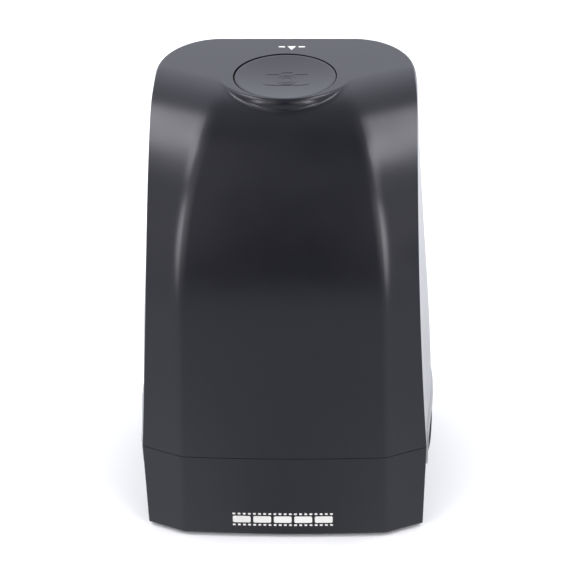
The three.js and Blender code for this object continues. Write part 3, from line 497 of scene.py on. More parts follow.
FLAT_FACE_WEIGHT = 80


def smooth(obj, angle=35):
    obj.data.shade_smooth()
    obj.data.set_sharp_from_angle(angle=math.radians(angle))
    modifier = obj.modifiers.new("flat_faces", "WEIGHTED_NORMAL")
    modifier.keep_sharp = True
    modifier.weight = FLAT_FACE_WEIGHT


BEVEL_SEGMENTS = 2
BEVEL_ANGLE = math.radians(40)


def bevelled(obj, width):
    modifier = obj.modifiers.new("edge", "BEVEL")
    modifier.width = width * MM
    modifier.segments = BEVEL_SEGMENTS
    modifier.limit_method = "ANGLE"
    modifier.angle_limit = BEVEL_ANGLE
    modifier.harden_normals = False
    apply_modifiers(obj)


def finish_piece(obj, slot, *nodes, body="housing", material=None):
    """Gives a piece the material of its slot, and its body. It stands for the CAD nodes that are named, and
    hides them.
    """
    obj.data.materials.clear()
    obj.data.materials.append(material or FINISHES[slot])
    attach(obj, body)
    if nodes:
        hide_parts(*nodes)


# Node trees and materials.

class Nodes:
    """A node tree, with short calls for the nodes used here."""

    def __init__(self, tree):
        self.tree = tree

    def new(self, kind):
        return self.tree.nodes.new("ShaderNode" + kind)

    def feed(self, value, socket):
        """Links an output to a socket, or sets the socket's own value."""
        if isinstance(value, bpy.types.NodeSocket):
            self.tree.links.new(value, socket)
        else:
            socket.default_value = value

    def math(self, operation, first, second=None):
        node = self.new("Math")
        node.operation = operation
        for value, socket in zip((first, second), node.inputs):
            if value is not None:
                self.feed(value, socket)
        return node.outputs[0]

    def split(self, coordinates):
        node = self.new("SeparateXYZ")
        self.feed(self.new("TexCoord").outputs[coordinates], node.inputs[0])
        return node.outputs

    def azimuth(self, x, y):
        return self.math("MULTIPLY", self.math("ARCTAN2", x, self.math("MULTIPLY", y, -1.0)), 180 / math.pi)

    def window(self, value, centre, half, soft):
        """One inside a range, falling softly to zero outside it."""
        node = self.new("MapRange")
        node.interpolation_type = "SMOOTHSTEP"
        self.feed(self.math("ABSOLUTE", self.math("SUBTRACT", value, centre)), node.inputs["Value"])
        node.inputs["From Min"].default_value = half + soft / 2
        node.inputs["From Max"].default_value = half - soft / 2
        return node.outputs["Result"]

    def curve(self, value, stops):
        """A smooth curve through (place, level) stops, which start at place 0."""
        node = self.new("FloatCurve")
        points = node.mapping.curves[0].points
        full = stops[-1][0]
        top = max(level for _, level in stops)
        while len(points) < len(stops):
            points.new(0.5, 0.5)
        for point, (place, level) in zip(points, stops):
            point.location = (place / full, level / top)
        node.mapping.update()
        self.feed(self.math("DIVIDE", value, full), node.inputs["Value"])
        return self.math("MULTIPLY", node.outputs[0], top)

    def mix(self, share, first, second):
        node = self.new("Mix")
        for value, place in zip((share, first, second), (0, 2, 3)):
            self.feed(value, node.inputs[place])
        return node.outputs[0]

    def mix_colour(self, share, first, second, blend="MIX"):
        node = self.new("Mix")
        node.data_type = "RGBA"
        node.blend_type = blend
        for value, place in zip((share, first, second), (0, 6, 7)):
            self.feed(value, node.inputs[place])
        return node.outputs[2]

    def light_path(self, ray):
        return self.new("LightPath").outputs[ray]


# Most of a noise lies between these levels.
NOISE_RANGE = (0.3, 0.7)
PLASTIC_IOR = 1.5


class Surface(Nodes):
    """A material's nodes, which lead to its main shader."""

    def __init__(self, name):
        self.material = bpy.data.materials.new(name)
        self.material.use_nodes = True
        super().__init__(self.material.node_tree)
        self.shader = self.tree.nodes["Principled BSDF"]
        self.coords = self.new("TexCoord").outputs["Object"]

    def noise(self, scale, detail):
        node = self.new("TexNoise")
        node.inputs["Scale"].default_value = scale
        node.inputs["Detail"].default_value = detail
        self.feed(self.coords, node.inputs["Vector"])
        return node.outputs["Fac"]

    def ramp(self, value, *stops):
        node = self.new("ValToRGB")
        elements = node.color_ramp.elements
        for element, (position, colour) in zip(elements, (stops[0], stops[-1])):
            element.position = position
            element.color = (*colour, 1)
        for position, colour in stops[1:-1]:
            elements.new(position).color = (*colour, 1)
        self.feed(value, node.inputs["Fac"])
        return node.outputs["Color"]

    def tint(self, value, dark, pale):
        self.put(self.ramp(value, *zip(NOISE_RANGE, (dark, pale))), "Base Color")

    def roughness(self, value, middle, spread):
        node = self.new("MapRange")
        limits = (*NOISE_RANGE, middle - spread / 2, middle + spread / 2)
        for name, limit in zip(("From Min", "From Max", "To Min", "To Max"), limits):
            node.inputs[name].default_value = limit
        self.feed(value, node.inputs["Value"])
        self.put(node.outputs["Result"], "Roughness")

    def bump(self, height, strength, distance):
        node = self.new("Bump")
        node.inputs["Strength"].default_value = strength
        node.inputs["Distance"].default_value = distance
        self.feed(height, node.inputs["Height"])
        self.put(node.outputs["Normal"], "Normal")

    def put(self, value, socket):
        self.feed(value, self.shader.inputs[socket])


def tinted(colour, factor):
    return tuple(channel * factor for channel in colour)


def moulded(name, colour, roughness, spread=0.08, grain=2600, grain_depth=0.00001):
    """Moulded plastic: an even colour with slight flow clouds, and a fine spark-eroded grain."""
    surface = Surface(name)
    surface.tint(surface.noise(scale=38, detail=3.0), tinted(colour, 0.94), tinted(colour, 1.06))
    surface.roughness(surface.noise(scale=90, detail=4.0), roughness, spread)
    surface.put(PLASTIC_IOR, "IOR")
    surface.bump(surface.noise(grain, detail=1.0), strength=0.35, distance=grain_depth)
    return surface.material


def metal(name, colour, roughness, grain=900):
    surface = Surface(name)
    surface.tint(surface.noise(scale=120, detail=3.0), tinted(colour, 0.92), colour)
    surface.roughness(surface.noise(grain, detail=3.0), roughness, spread=0.12)
    surface.put(1.0, "Metallic")
    surface.bump(surface.noise(grain, detail=2.0), strength=0.2, distance=0.000008)
    return surface.material


# The paint's colour by its share of the body's height, with painted shade that makes it darker toward the
# foot and paler toward the top, and the shade of its flakes by their noise.
PAINT_AND_SHADE_STOPS = [(0.1, (0.42, 0.42, 0.41)), (0.5, (0.58, 0.58, 0.56)), (0.9, (0.78, 0.78, 0.76))]
FLAKE_STOPS = [(0.35, (0.88, 0.88, 0.88)), (0.65, (1.0, 1.0, 1.0))]


def silver_paint():
    """Satin silver paint with fine metal flakes, and painted shade: darker toward the foot and paler toward
    the top.
    """
    surface = Surface("silver_paint")
    share = surface.math("MULTIPLY", surface.split("Object")["Z"], 1 / (BODY_HEIGHT * MM))
    # Painted shade: the silver is darker toward the foot and paler toward the top, as the light falls on
    # it.
    paint_and_shade = surface.ramp(share, *PAINT_AND_SHADE_STOPS)
    flakes = surface.ramp(surface.noise(scale=5200, detail=1.0), *FLAKE_STOPS)
    surface.put(surface.mix_colour(1.0, paint_and_shade, flakes, "MULTIPLY"), "Base Color")
    surface.roughness(surface.noise(scale=70, detail=3.0), 0.4, spread=0.08)
    surface.put(0.55, "Metallic")
    surface.bump(surface.noise(scale=3600, detail=1.0), strength=0.2, distance=0.000006)
    return surface.material


TRACKS = {
    "Color1": (0.02, 0.13, 0.06, 1), "Color2": (0.02, 0.15, 0.07, 1), "Mortar": (0.05, 0.24, 0.12, 1),
    "Scale": 240, "Mortar Size": 0.06,
}


def circuit_board():
    """Green solder mask, with paler tracks seen through it."""
    surface = Surface("circuit_board")
    tracks = surface.new("TexBrick")
    for name, value in TRACKS.items():
        tracks.inputs[name].default_value = value
    surface.feed(surface.coords, tracks.inputs["Vector"])
    surface.put(tracks.outputs["Color"], "Base Color")
    surface.put(0.45, "Roughness")
    surface.bump(tracks.outputs["Fac"], strength=0.3, distance=0.00002)
    return surface.material


def lens_glass():
    surface = Surface("lens_glass")
    surface.tint(surface.noise(scale=200, detail=1.0), (0.80, 0.88, 0.90), (0.84, 0.90, 0.92))
    surface.roughness(surface.noise(scale=400, detail=2.0), 0.04, spread=0.04)
    for value, socket in ((1.6, "IOR"), (0.9, "Transmission Weight"), (0.5, "Coat Weight")):
        surface.put(value, socket)
    return surface.material


CHARCOAL = (0.0050, 0.0052, 0.0080)

PLASTICS = {
    "charcoal_plastic": dict(colour=CHARCOAL, roughness=0.23, spread=0.04),
    "button_plastic": dict(colour=CHARCOAL, roughness=0.25, spread=0.04),
    "black_plastic": dict(colour=(0.010, 0.010, 0.011), roughness=0.6, spread=0.1),
    "white_plastic": dict(colour=(0.78, 0.78, 0.76), roughness=0.55),
    "opal_acrylic": dict(colour=(0.83, 0.83, 0.80), roughness=0.35, grain_depth=0.000004),
    "foot_rubber": dict(colour=(0.014, 0.014, 0.014), roughness=0.85, grain=1400, grain_depth=0.00004),
    "chip_epoxy": dict(colour=(0.012, 0.012, 0.013), roughness=0.6, grain=1800),
    "led_package": dict(colour=(0.82, 0.78, 0.45), roughness=0.4),
    "ribbon_film": dict(colour=(0.45, 0.20, 0.04), roughness=0.3, grain_depth=0.000003),
}
FINISHES = {
    **{slot: moulded(slot, **look) for slot, look in PLASTICS.items()},
    "screw_steel": metal("screw_steel", (0.55, 0.55, 0.57), roughness=0.3),
    "silver_panel": silver_paint(),
    "circuit_board": circuit_board(),
    "lens_glass": lens_glass(),
}
PRINT_INK = moulded("print_ink", (0.82, 0.81, 0.75), roughness=0.5, grain_depth=0.000003)
CONTACT_GOLD = metal("contact_gold", (0.80, 0.58, 0.22), roughness=0.25)


# Covers.

OUTER_STEPS = (96, 14, 26)
INNER_STEPS = (16, 5, 14)
FRONT_LEVELS = 200
PARTING_LEVELS = 90
INNER_LEVELS = 40
REAR_LEVELS = 30
BAND_LEVELS = 12
SOCKET_CORNER_STEPS = 6
CUT_REACH = SEAM_HALF_WIDTH + OVERRUN


def outer_solid(name, levels):
    return loft(name, [Section(z).ring(*OUTER_STEPS) for z in levels])


def inner_solid():
    levels = [-OVERRUN] + roll_levels(SEAM_HEIGHT, BODY_HEIGHT - WALL, INNER_LEVELS)
    return loft("inner", [Section(z, WALL).ring(*INNER_STEPS) for z in levels])


def parting_y(z):
    return Section(max(z, SEAM_HEIGHT)).facet_end_y + PARTING_LAND


def front_outline():
    bottom = SEAM_HEIGHT + SEAM_GAP / 2
    levels = roll_levels(bottom, BODY_HEIGHT, PARTING_LEVELS)
    edge = [(parting_y(z), z) for z in levels if z < CAP_BOTTOM]
    return [
        (FRONT_Y - OVERRUN, bottom), *edge, (parting_y(CAP_BOTTOM), CAP_BOTTOM),
        (REAR_Y + OVERRUN, CAP_BOTTOM), (REAR_Y + OVERRUN, BODY_HEIGHT + OVERRUN),
        (FRONT_Y - OVERRUN, BODY_HEIGHT + OVERRUN),
    ]


def button_well():
    radius = BUTTON_RADIUS + BUTTON_GAP
    flare = [
        (radius + draw_in(WELL_ROUND, rise), BODY_HEIGHT - WELL_ROUND + rise)
        for rise in even_levels(WELL_ROUND, 0, WELL_STEPS)
    ]
    top = BODY_HEIGHT + OVERRUN
    bottom = BODY_HEIGHT - WELL_DEPTH
    wide = radius + WELL_ROUND
    profile = [(0, top), (wide, top), *flare, (radius, bottom), (0, bottom)]
    return turned("well", profile, 0, BUTTON_Y, BUTTON_SIDES)


def front_cover():
    levels = roll_levels(SEAM_HEIGHT, BODY_HEIGHT, FRONT_LEVELS)
    cover = outer_solid("front_cover_skin", levels)
    boolean(cover, "INTERSECT", across_x("cutter", front_outline(), -CUT_REACH, CUT_REACH))
    cut(cover, inner_solid())
    for side in (-1, 1):
        x = side * CARRIER_BOSS_X
        boss = rod("boss", BOSS_RADIUS, x, BUTTON_Y, CARRIER_TOP + SEAT_GAP, BODY_HEIGHT - WALL / 2)
        boolean(cover, "UNION", boss)
        hole = rod("hole", SCREW_BORE, x, BUTTON_Y, CARRIER_TOP - OVERRUN, CARRIER_SCREW_TOP)
        cut(cover, hole)
    cut(cover, button_well())
    smooth(cover)
    finish_piece(cover, "charcoal_plastic", "front_cover")


def base_cover():
    band_top = SEAM_HEIGHT - SEAM_GAP / 2
    band_rear = parting_y(SEAM_HEIGHT)
    skirt_top = PANEL_BOTTOM - GAP
    outline = [
        (FRONT_Y - OVERRUN, -OVERRUN), (REAR_Y + OVERRUN, -OVERRUN), (REAR_Y + OVERRUN, skirt_top),
        (band_rear, skirt_top), (band_rear, band_top), (FRONT_Y - OVERRUN, band_top),
    ]
    levels = eased(RIM_ROUND, EDGE_STEPS) + even_levels(RIM_ROUND, SEAM_HEIGHT, BAND_LEVELS)[1:]
    cover = outer_solid("base_cover_skin", levels)
    boolean(cover, "INTERSECT", across_x("cutter", outline, -CUT_REACH, CUT_REACH))
    cut(cover, inner_solid())
    smooth(cover)
    finish_piece(cover, "charcoal_plastic", "base_cover")


def rear_cover():
    front = PANEL_REAR_Y + GAP
    top = CAP_BOTTOM - GAP
    cover = outer_solid("rear_cover_skin", even_levels(PANEL_BOTTOM, top, REAR_LEVELS))
    kept = block("cutter", (-CUT_REACH, front, 0), (CUT_REACH, REAR_Y + OVERRUN, top + OVERRUN))
    boolean(cover, "INTERSECT", kept)
    cut(cover, inner_solid())
    wall_y = rear_y(BOARD_BOSS_Z)
    for side in (-1, 1):
        x = side * BOARD_BOSS_X
        outline = round_outline(x, BOARD_BOSS_Z, BOSS_RADIUS)
        boolean(cover, "UNION", along_y("boss", outline, BOARD_REAR_Y + SEAT_GAP, wall_y - WALL / 2))
        bore = round_outline(x, BOARD_BOSS_Z, SCREW_BORE)
        cut(cover, along_y("hole", bore, BOARD_REAR_Y - OVERRUN, wall_y - WALL))
    outline = socket_outline(OPENING_CLEARANCE, OPENING_CORNER)
    cut(cover, along_y("opening", outline, REAR_Y - 2 * WALL, REAR_Y + OVERRUN))
    cut(cover, opening_chamfer(rear_y(SOCKET_Z)))
    smooth(cover)
    finish_piece(cover, "charcoal_plastic", "rear_cover")


def socket_outline(margin, corner):
    width, height = SOCKET_WIDTH + 2 * margin, SOCKET_HEIGHT + 2 * margin
    return [(u, SOCKET_Z + v) for u, v in rounded_outline(width, height, corner, SOCKET_CORNER_STEPS)]


def opening_chamfer(mouth_y):
    """A flared cutter for the chamfer round the opening's outer edge."""
    grow = 2 * OPENING_CHAMFER
    near = socket_outline(OPENING_CLEARANCE, OPENING_CORNER)
    far = socket_outline(OPENING_CLEARANCE + grow, OPENING_CORNER + grow)
    return prism(
        "chamfer",
        [(x, mouth_y - OPENING_CHAMFER, z) for x, z in near],
        [(x, mouth_y + OPENING_CHAMFER, z) for x, z in far])


def usb_socket():
    """A mini USB socket: a folded steel shell, a black tongue and five contacts."""
    rear = rear_y(SOCKET_Z) - SOCKET_RECESS
    shell = along_y("usb_shell", socket_outline(0.0, SOCKET_CORNER), BOARD_REAR_Y + SEAT_GAP, rear)
    cavity = socket_outline(-SOCKET_WALL, SOCKET_CORNER - SOCKET_WALL)
    cut(shell, along_y("cavity", cavity, rear - SOCKET_CAVITY, rear + OVERRUN))
    smooth(shell)
    finish_piece(shell, "screw_steel", "usb_socket")
    half = SOCKET_WIDTH / 4
    thick = SOCKET_WALL / 2
    root = rear - SOCKET_CAVITY - SOCKET_WALL / 2
    tip = rear - SOCKET_CAVITY / 3
    tongue = block("usb_tongue", (-half, root, SOCKET_Z - thick), (half, tip, SOCKET_Z + thick))
    bevelled(tongue, TONGUE_EDGE)
    smooth(tongue)
    finish_piece(tongue, "black_plastic")
    contacts = []
    width = half * CONTACT_WIDTH_SHARE
    low = SOCKET_Z - thick - width / 2
    for place in range(-2, 3):
        x = place * half * CONTACT_PITCH_SHARE
        corners = (x - width, root, low), (x + width, tip - width, SOCKET_Z - thick)
        contacts.append(block("usb_contact", *corners))
    finish_piece(joined_objects("usb_contacts", contacts), "screw_steel", material=CONTACT_GOLD)


# Side panels.

PANEL_STEPS = 40
PANEL_LEVELS = 60
PANEL_EDGE_STEPS = 4
MOUTH_CORNER_STEPS = 8


def panel_bulge(z):
    if z < SEAM_HEIGHT:
        share = (z - PANEL_BOTTOM) / (SEAM_HEIGHT - PANEL_BOTTOM)
        return PANEL_FOOT_BULGE + (PANEL_SEAM_BULGE - PANEL_FOOT_BULGE) * share
    share = (z - SEAM_HEIGHT) / (CAP_BOTTOM - SEAM_HEIGHT)
    hump = share * (1 - share) ** 2 / HUMP_PEAK
    return PANEL_SEAM_BULGE + (PANEL_TOP_BULGE - PANEL_SEAM_BULGE) * share + PANEL_HUMP * hump


def panel_x(section, y, front):
    share = (y - front) / (PANEL_REAR_Y - front)
    return section.side_x(y) + panel_bulge(section.z) * (1 - math.cos(2 * math.pi * share)) / 2


def panel_places(start, end, steps):
    """The places between two of a panel's edges, each with how far its rounded edge draws in there."""
    ends = eased(PANEL_EDGE_ROUND, PANEL_EDGE_STEPS)
    between = even_levels(start, end, steps)[1:-1]
    for place in [start + d for d in ends] + between + [end - d for d in reversed(ends)]:
        nearest = min(place - start, end - place)
        yield place, draw_in(PANEL_EDGE_ROUND, PANEL_EDGE_ROUND - nearest)


def panel_ring(z, rise, trim):
    section = Section(z)
    front = parting_y(z) + GAP
    outer = []
    for y, edge in panel_places(front, PANEL_REAR_Y, PANEL_STEPS):
        outer.append((panel_x(section, y, front) + rise - edge - trim, y, z))
    between = even_levels(front, PANEL_REAR_Y, PANEL_STEPS)[1:-1]
    inner = [(panel_x(section, y, front) - PANEL_WALL, y, z) for y in (front, *between, PANEL_REAR_Y)]
    return outer + inner[::-1]


def panel_solid(name, rise):
    places = panel_places(PANEL_BOTTOM, CAP_BOTTOM - GAP, PANEL_LEVELS)
    return loft(name, [panel_ring(z, rise, edge) for z, edge in places])


def mouth(margin, drop=0.0):
    """The slot's mouth, grown by a margin and lower by a drop, as a solid out through the right side."""
    width, height = CHANNEL_WIDTH + 2 * margin, CHANNEL_HEIGHT + 2 * margin + drop
    middle = CHANNEL_FLOOR + (CHANNEL_HEIGHT - drop) / 2
    outline = rounded_outline(width, height, MOUTH_CORNER + margin, MOUTH_CORNER_STEPS)
    outline = [(CHANNEL_CENTRE_Y + u, middle + v) for u, v in outline]
    return across_x("mouth", outline, SEAM_HALF_WIDTH / 2, SEAM_HALF_WIDTH * 1.5)


def finish_pair(right, slot, *nodes):
    """Finishes a right-hand piece and its mirror image on the left."""
    left = placed(right.name.replace("right", "left"), right.data.copy())
    left.data.transform(Matrix.Scale(-1, 4, Vector((1, 0, 0))))
    left.data.flip_normals()
    finish_piece(right, slot, *nodes)
    finish_piece(left, slot, *[node.replace("right", "left") for node in nodes])


def side_panels():
    panel = panel_solid("side_panel_right_skin", 0.0)
    cut(panel, mouth(0.0))
    lip = panel_solid("slot_lip_right", LIP_RISE)
    boolean(lip, "INTERSECT", mouth(LIP_WIDTH, LIP_DROP))
    cut(lip, mouth(0.0))
    bevelled(lip, LIP_EDGE)
    smooth(panel)
    smooth(lip)
    finish_pair(panel, "silver_panel", "side_panel_right")
    finish_pair(lip, "silver_panel")
    finish_pair(slot_sill(), "black_plastic")
    finish_pair(panel_backing(), "black_plastic")


def panel_backing():
    """The strip behind the joint between the front cover and the right side panel."""
    rings = []
    for z in even_levels(SEAM_HEIGHT + BACKING_MARGIN, CAP_BOTTOM - BACKING_MARGIN, PANEL_LEVELS):
        joint = parting_y(z)
        outer = Section(z).side_x(joint) - WALL - BACKING_GAP
        inner = outer - BACKING_THICKNESS
        front, rear = joint - BACKING_REACH, joint + GAP + BACKING_REACH
        rings.append([(inner, front, z), (outer, front, z), (outer, rear, z), (inner, rear, z)])
    return loft("panel_backing_right", rings)


def slot_sill():
    """The black sill that the film holder slides in over, along the lower edge of the slot's mouth."""
    reach = CHANNEL_WIDTH / 2 - MOUTH_CORNER
    bottom = CHANNEL_FLOOR - SILL_THICKNESS
    rings = []
    for y in even_levels(CHANNEL_CENTRE_Y - reach, CHANNEL_CENTRE_Y + reach, PANEL_LEVELS):
        from_end = reach - abs(y - CHANNEL_CENTRE_Y)
        share = min(from_end / SILL_TAPER, 1)
        rise = SILL_RISE * math.sqrt(1 - (1 - share) ** 2)
        outer = [(panel_x(Section(z), y, parting_y(z) + GAP) + rise, y, z) for z in (bottom, CHANNEL_FLOOR)]
        rings.append([(TOP_HALF_WIDTH, y, bottom), *outer, (TOP_HALF_WIDTH, y, CHANNEL_FLOOR)])
    sill = loft("slot_sill_right", rings)
    bevelled(sill, SILL_EDGE)
    smooth(sill)
    return sill


# Button.

BUTTON_SIDES = 160
RETAINER_SIDES = 120
LENS_RING_SIDES = 56
DISH_STEPS = 28
RELIEF_STEPS = (-1, -0.5, 0, 0.5, 1)


def dish_height(radius):
    share = min(radius / (BUTTON_RADIUS - BUTTON_RIM), 1)
    return BUTTON_TOP - BUTTON_DISH * (1 - share * share)


def capture_button():
    dish_radius = BUTTON_RADIUS - BUTTON_RIM
    dish = [(radius, dish_height(radius)) for radius in even_levels(0, dish_radius, DISH_STEPS)]
    inside = BUTTON_RADIUS - BUTTON_SKIN
    skirt_bottom = BUTTON_TOP - BUTTON_SKIRT
    underside = BUTTON_TOP - BUTTON_DISH - BUTTON_SKIN
    cap = turned("capture_button_cap", [
        *dish, *turned_edge(BUTTON_RADIUS, BUTTON_TOP, BUTTON_EDGE, 1),
        (BUTTON_RADIUS, skirt_bottom), (inside, skirt_bottom), (inside, underside), (0, underside),
    ], BUTTON_X, BUTTON_Y, BUTTON_SIDES)
    stem_ends = (underside - STEM_LENGTH, underside + BUTTON_SKIN / 2)
    boolean(cap, "UNION", rod("stem", STEM_RADIUS, 0, BUTTON_Y, *stem_ends), retaining_lip(inside))
    smooth(cap)
    finish_piece(cap, "button_plastic", "capture_button", body="button")


def retaining_lip(inside):
    """The lip that keeps the button under the top, open at the front where the nose is too shallow."""
    top = BODY_HEIGHT - WALL - SEAT_GAP - GAP
    outer = BUTTON_RADIUS + RETAINER_REACH
    lip = rod("lip", outer, 0, BUTTON_Y, top - RETAINER_THICKNESS, top, RETAINER_SIDES)
    low, high = top - OVERRUN * 2, BODY_HEIGHT
    cut(lip, rod("core", inside, 0, BUTTON_Y, low, high, BUTTON_SIDES))
    reach = outer + OVERRUN
    front_end = BUTTON_Y - RETAINER_FRONT_REACH
    cut(lip, block("front", (-reach, BUTTON_Y - reach, low), (reach, front_end, high)))
    return lip


def relief_line(path, rise):
    """A low rounded ridge along a closed path of (x, y) points, on the button's dish."""
    points = []
    faces = []
    count = len(path)
    for i, (x, y) in enumerate(path):
        before, after = path[i - 1], path[(i + 1) % count]
        along = Vector((after[0] - before[0], after[1] - before[1])).normalized()
        for across in RELIEF_STEPS:
            px = x - along.y * across * RELIEF_WIDTH / 2
            py = y + along.x * across * RELIEF_WIDTH / 2
            lift = rise * (math.cos(across * math.pi / 2) - RELIEF_SINK_SHARE)
            points.append((px, py, dish_height(math.hypot(px - BUTTON_X, py - BUTTON_Y)) + lift))
    wide = len(RELIEF_STEPS)
    for i in range(count):
        for j in range(wide - 1):
            here, there = wide * i + j, wide * ((i + 1) % count) + j
            faces.append((here, here + 1, there + 1, there))
    return new_object("relief", points, faces)


def camera_body_path():
    body = rounded_outline(CAMERA_WIDTH, CAMERA_HEIGHT, CAMERA_CORNER, CAMERA_CORNER_STEPS)
    first_corner = CAMERA_CORNER_STEPS + 1
    low, high = CAMERA_HEIGHT / 2, CAMERA_HEIGHT / 2 + CAMERA_HUMP
    wide, narrow = CAMERA_HUMP_WIDTH / 2, (CAMERA_HUMP_WIDTH - CAMERA_HUMP) / 2
    hump = [(wide, low), (narrow, high), (-narrow, high), (-wide, low)]
    path = [*body[:first_corner], *hump, *body[first_corner:]]
    return evenly_spaced([(CAMERA_CENTRE_X + u, CAMERA_CENTRE_Y + v) for u, v in path], RELIEF_WIDTH)


def evenly_spaced(path, step):
    """A closed path with more points on its long straight stretches."""
    result = []
    for i, (x, y) in enumerate(path):
        nx, ny = path[(i + 1) % len(path)]
        pieces = max(1, round(math.hypot(nx - x, ny - y) / step))
        result += [(x + (nx - x) * k / pieces, y + (ny - y) * k / pieces) for k in range(pieces)]
    return result


def button_pictogram():
    """A plain camera in relief: its body with a viewfinder hump, and two rings for the lens."""
    lines = [relief_line(camera_body_path(), RELIEF_RISE)]
    for radius in LENS_RADII:
        ring = round_outline(CAMERA_CENTRE_X, CAMERA_CENTRE_Y, radius, LENS_RING_SIDES)
        lines.append(relief_line(ring, RELIEF_RISE))
    relief = joined_objects("button_pictogram", lines)
    face_towards(relief, UP)
    relief.data.shade_smooth()
    finish_piece(relief, "button_plastic", body="button")


# Print.

def ink_on_front(outline):
    """A flat patch of ink on the base band, from an outline of (x, z) points."""
    z_mid = sum(z for _, z in outline) / len(outline)
    section = Section(z_mid)
    points = [(x, section.face_y(x) - INK_RISE, z) for x, z in outline]
    return new_object("ink", points, [tuple(range(len(points)))])


def ink_row(count, pitch, z, size, corner):
    """A row of patches with round corners, across the base band."""
    patch = rounded_outline(*size, *corner)
    places = [FILM_CENTRE_X + (i - (count - 1) / 2) * pitch for i in range(count)]
    return [ink_on_front([(x + u, z + v) for u, v in patch]) for x in places]


def film_strip_mark():
    """A strip of film: a row of frames between two rows of sprocket holes."""
    patches = ink_row(FILM_FRAMES, FILM_FRAME_PITCH, FILM_CENTRE_Z, FILM_FRAME_SIZE, FILM_FRAME_CORNER)
    count, pitch = FILM_FRAMES * FILM_HOLES_PER_FRAME, FILM_FRAME_PITCH / FILM_HOLES_PER_FRAME
    for z in (FILM_CENTRE_Z - FILM_HOLE_OFFSET, FILM_CENTRE_Z + FILM_HOLE_OFFSET):
        patches += ink_row(count, pitch, z, FILM_HOLE_SIZE, FILM_HOLE_CORNER)
    mark = joined_objects("film_strip_mark", patches)
    face_towards(mark, FORWARD)
    finish_piece(mark, "white_plastic", material=PRINT_INK)


def pointer_mark():
    """A small triangle between two bars, pointing at the button."""
    x, y = POINTER_PLACE
    width, depth = POINTER_SIZE
    bar_width, bar_depth = POINTER_BAR
    z = BODY_HEIGHT + INK_RISE
    back = y + depth / 2
    triangle = [(x - width / 2, back, z), (x, y - depth / 2, z), (x + width / 2, back, z)]
    patches = [new_object("ink", triangle, [(0, 1, 2)])]
    for side in (-1, 1):
        bar_x = x + side * (width / 2 + POINTER_GAP + bar_width / 2)
        bar = rounded_outline(*POINTER_BAR, *POINTER_BAR_CORNER)
        points = [(bar_x + u, back - bar_depth / 2 + v, z) for u, v in bar]
        patches.append(new_object("ink", points, [tuple(range(len(points)))]))
    mark = joined_objects("pointer_mark", patches)
    face_towards(mark, UP)
    finish_piece(mark, "white_plastic", material=PRINT_INK)


# Underside.

PLATE_STEPS = (24, 6, 16)
PLATE_EDGE_STEPS = 3
POCKET_SIDES = 64
FOOT_SIDES = 72
SCREW_SIDES = 48
SPRING_SMOOTH_ANGLE = 60


def bottom_plate():
    inset = WALL + GAP
    top = PLATE_INSET + PLATE_THICKNESS
    levels = [PLATE_INSET + step for step in eased(PLATE_EDGE, PLATE_EDGE_STEPS)] + [top]
    rings = []
    for z in levels:
        edge = draw_in(PLATE_EDGE, PLATE_EDGE - (z - PLATE_INSET))
        rings.append(Section(z, inset + edge).ring(*PLATE_STEPS))
    plate = loft("bottom_plate_skin", rings)
    pocket_top = PLATE_INSET + FOOT_POCKET
    radius = FOOT_RADIUS + SCREW_CLEARANCE
    for x, y in FOOT_PLACES:
        cut(plate, rod("pocket", radius, x, y, -OVERRUN, pocket_top, POCKET_SIDES))
    head_top = PLATE_INSET + SCREW_HEAD_HEIGHT + SEAT_GAP
    for x, y in SCREW_PLACES:
        cut(plate, rod("shank_hole", SCREW_BORE, x, y, -OVERRUN, top + OVERRUN))
        cut(plate, rod("head_hole", SCREW_HEAD_RADIUS + SCREW_CLEARANCE, x, y, -OVERRUN, head_top))
    smooth(plate)
    finish_piece(plate, "black_plastic", "bottom_plate")


def foot(name, x, y):
    top = PLATE_INSET + FOOT_POCKET - SEAT_GAP
    edge = turned_edge(FOOT_RADIUS, -STAND, FOOT_EDGE, -1)[::-1]
    profile = [(0, top), (FOOT_RADIUS, top), *edge, (0, -STAND)]
    pad = turned(name + "_skin", profile, x, y, FOOT_SIDES)
    smooth(pad)
    finish_piece(pad, "foot_rubber", name)


def base_screw(name, x, y):
    """A pan-head screw with a cross recess, seated from below."""
    seat = PLATE_INSET + SCREW_HEAD_HEIGHT
    tip = seat + SCREW_LENGTH - SCREW_HEAD_HEIGHT
    profile = [
        (0, tip), (SCREW_SHANK_RADIUS / 2, tip), (SCREW_SHANK_RADIUS, tip - SCREW_SHANK_RADIUS),
        (SCREW_SHANK_RADIUS, seat), (SCREW_HEAD_RADIUS, seat),
        *turned_edge(SCREW_HEAD_RADIUS, PLATE_INSET, SCREW_EDGE, -1)[::-1], (0, PLATE_INSET),
    ]
    screw = turned(name + "_skin", profile, x, y, SCREW_SIDES)
    half = RECESS_ARM_WIDTH / 2
    low, high = PLATE_INSET - OVERRUN, PLATE_INSET + RECESS_DEPTH
    for across, along in ((RECESS_ARM, half), (half, RECESS_ARM)):
        cut(screw, block("arm", (x - across, y - along, low), (x + across, y + along, high)))
    smooth(screw)
    finish_piece(screw, "screw_steel", name)


def underside():
    bottom_plate()
    for corner, (x, y) in zip(CORNERS, FOOT_PLACES):
        foot("foot_" + corner, x, y)
    for corner, (x, y) in zip(CORNERS, SCREW_PLACES):
        base_screw("base_screw_" + corner, x, y)


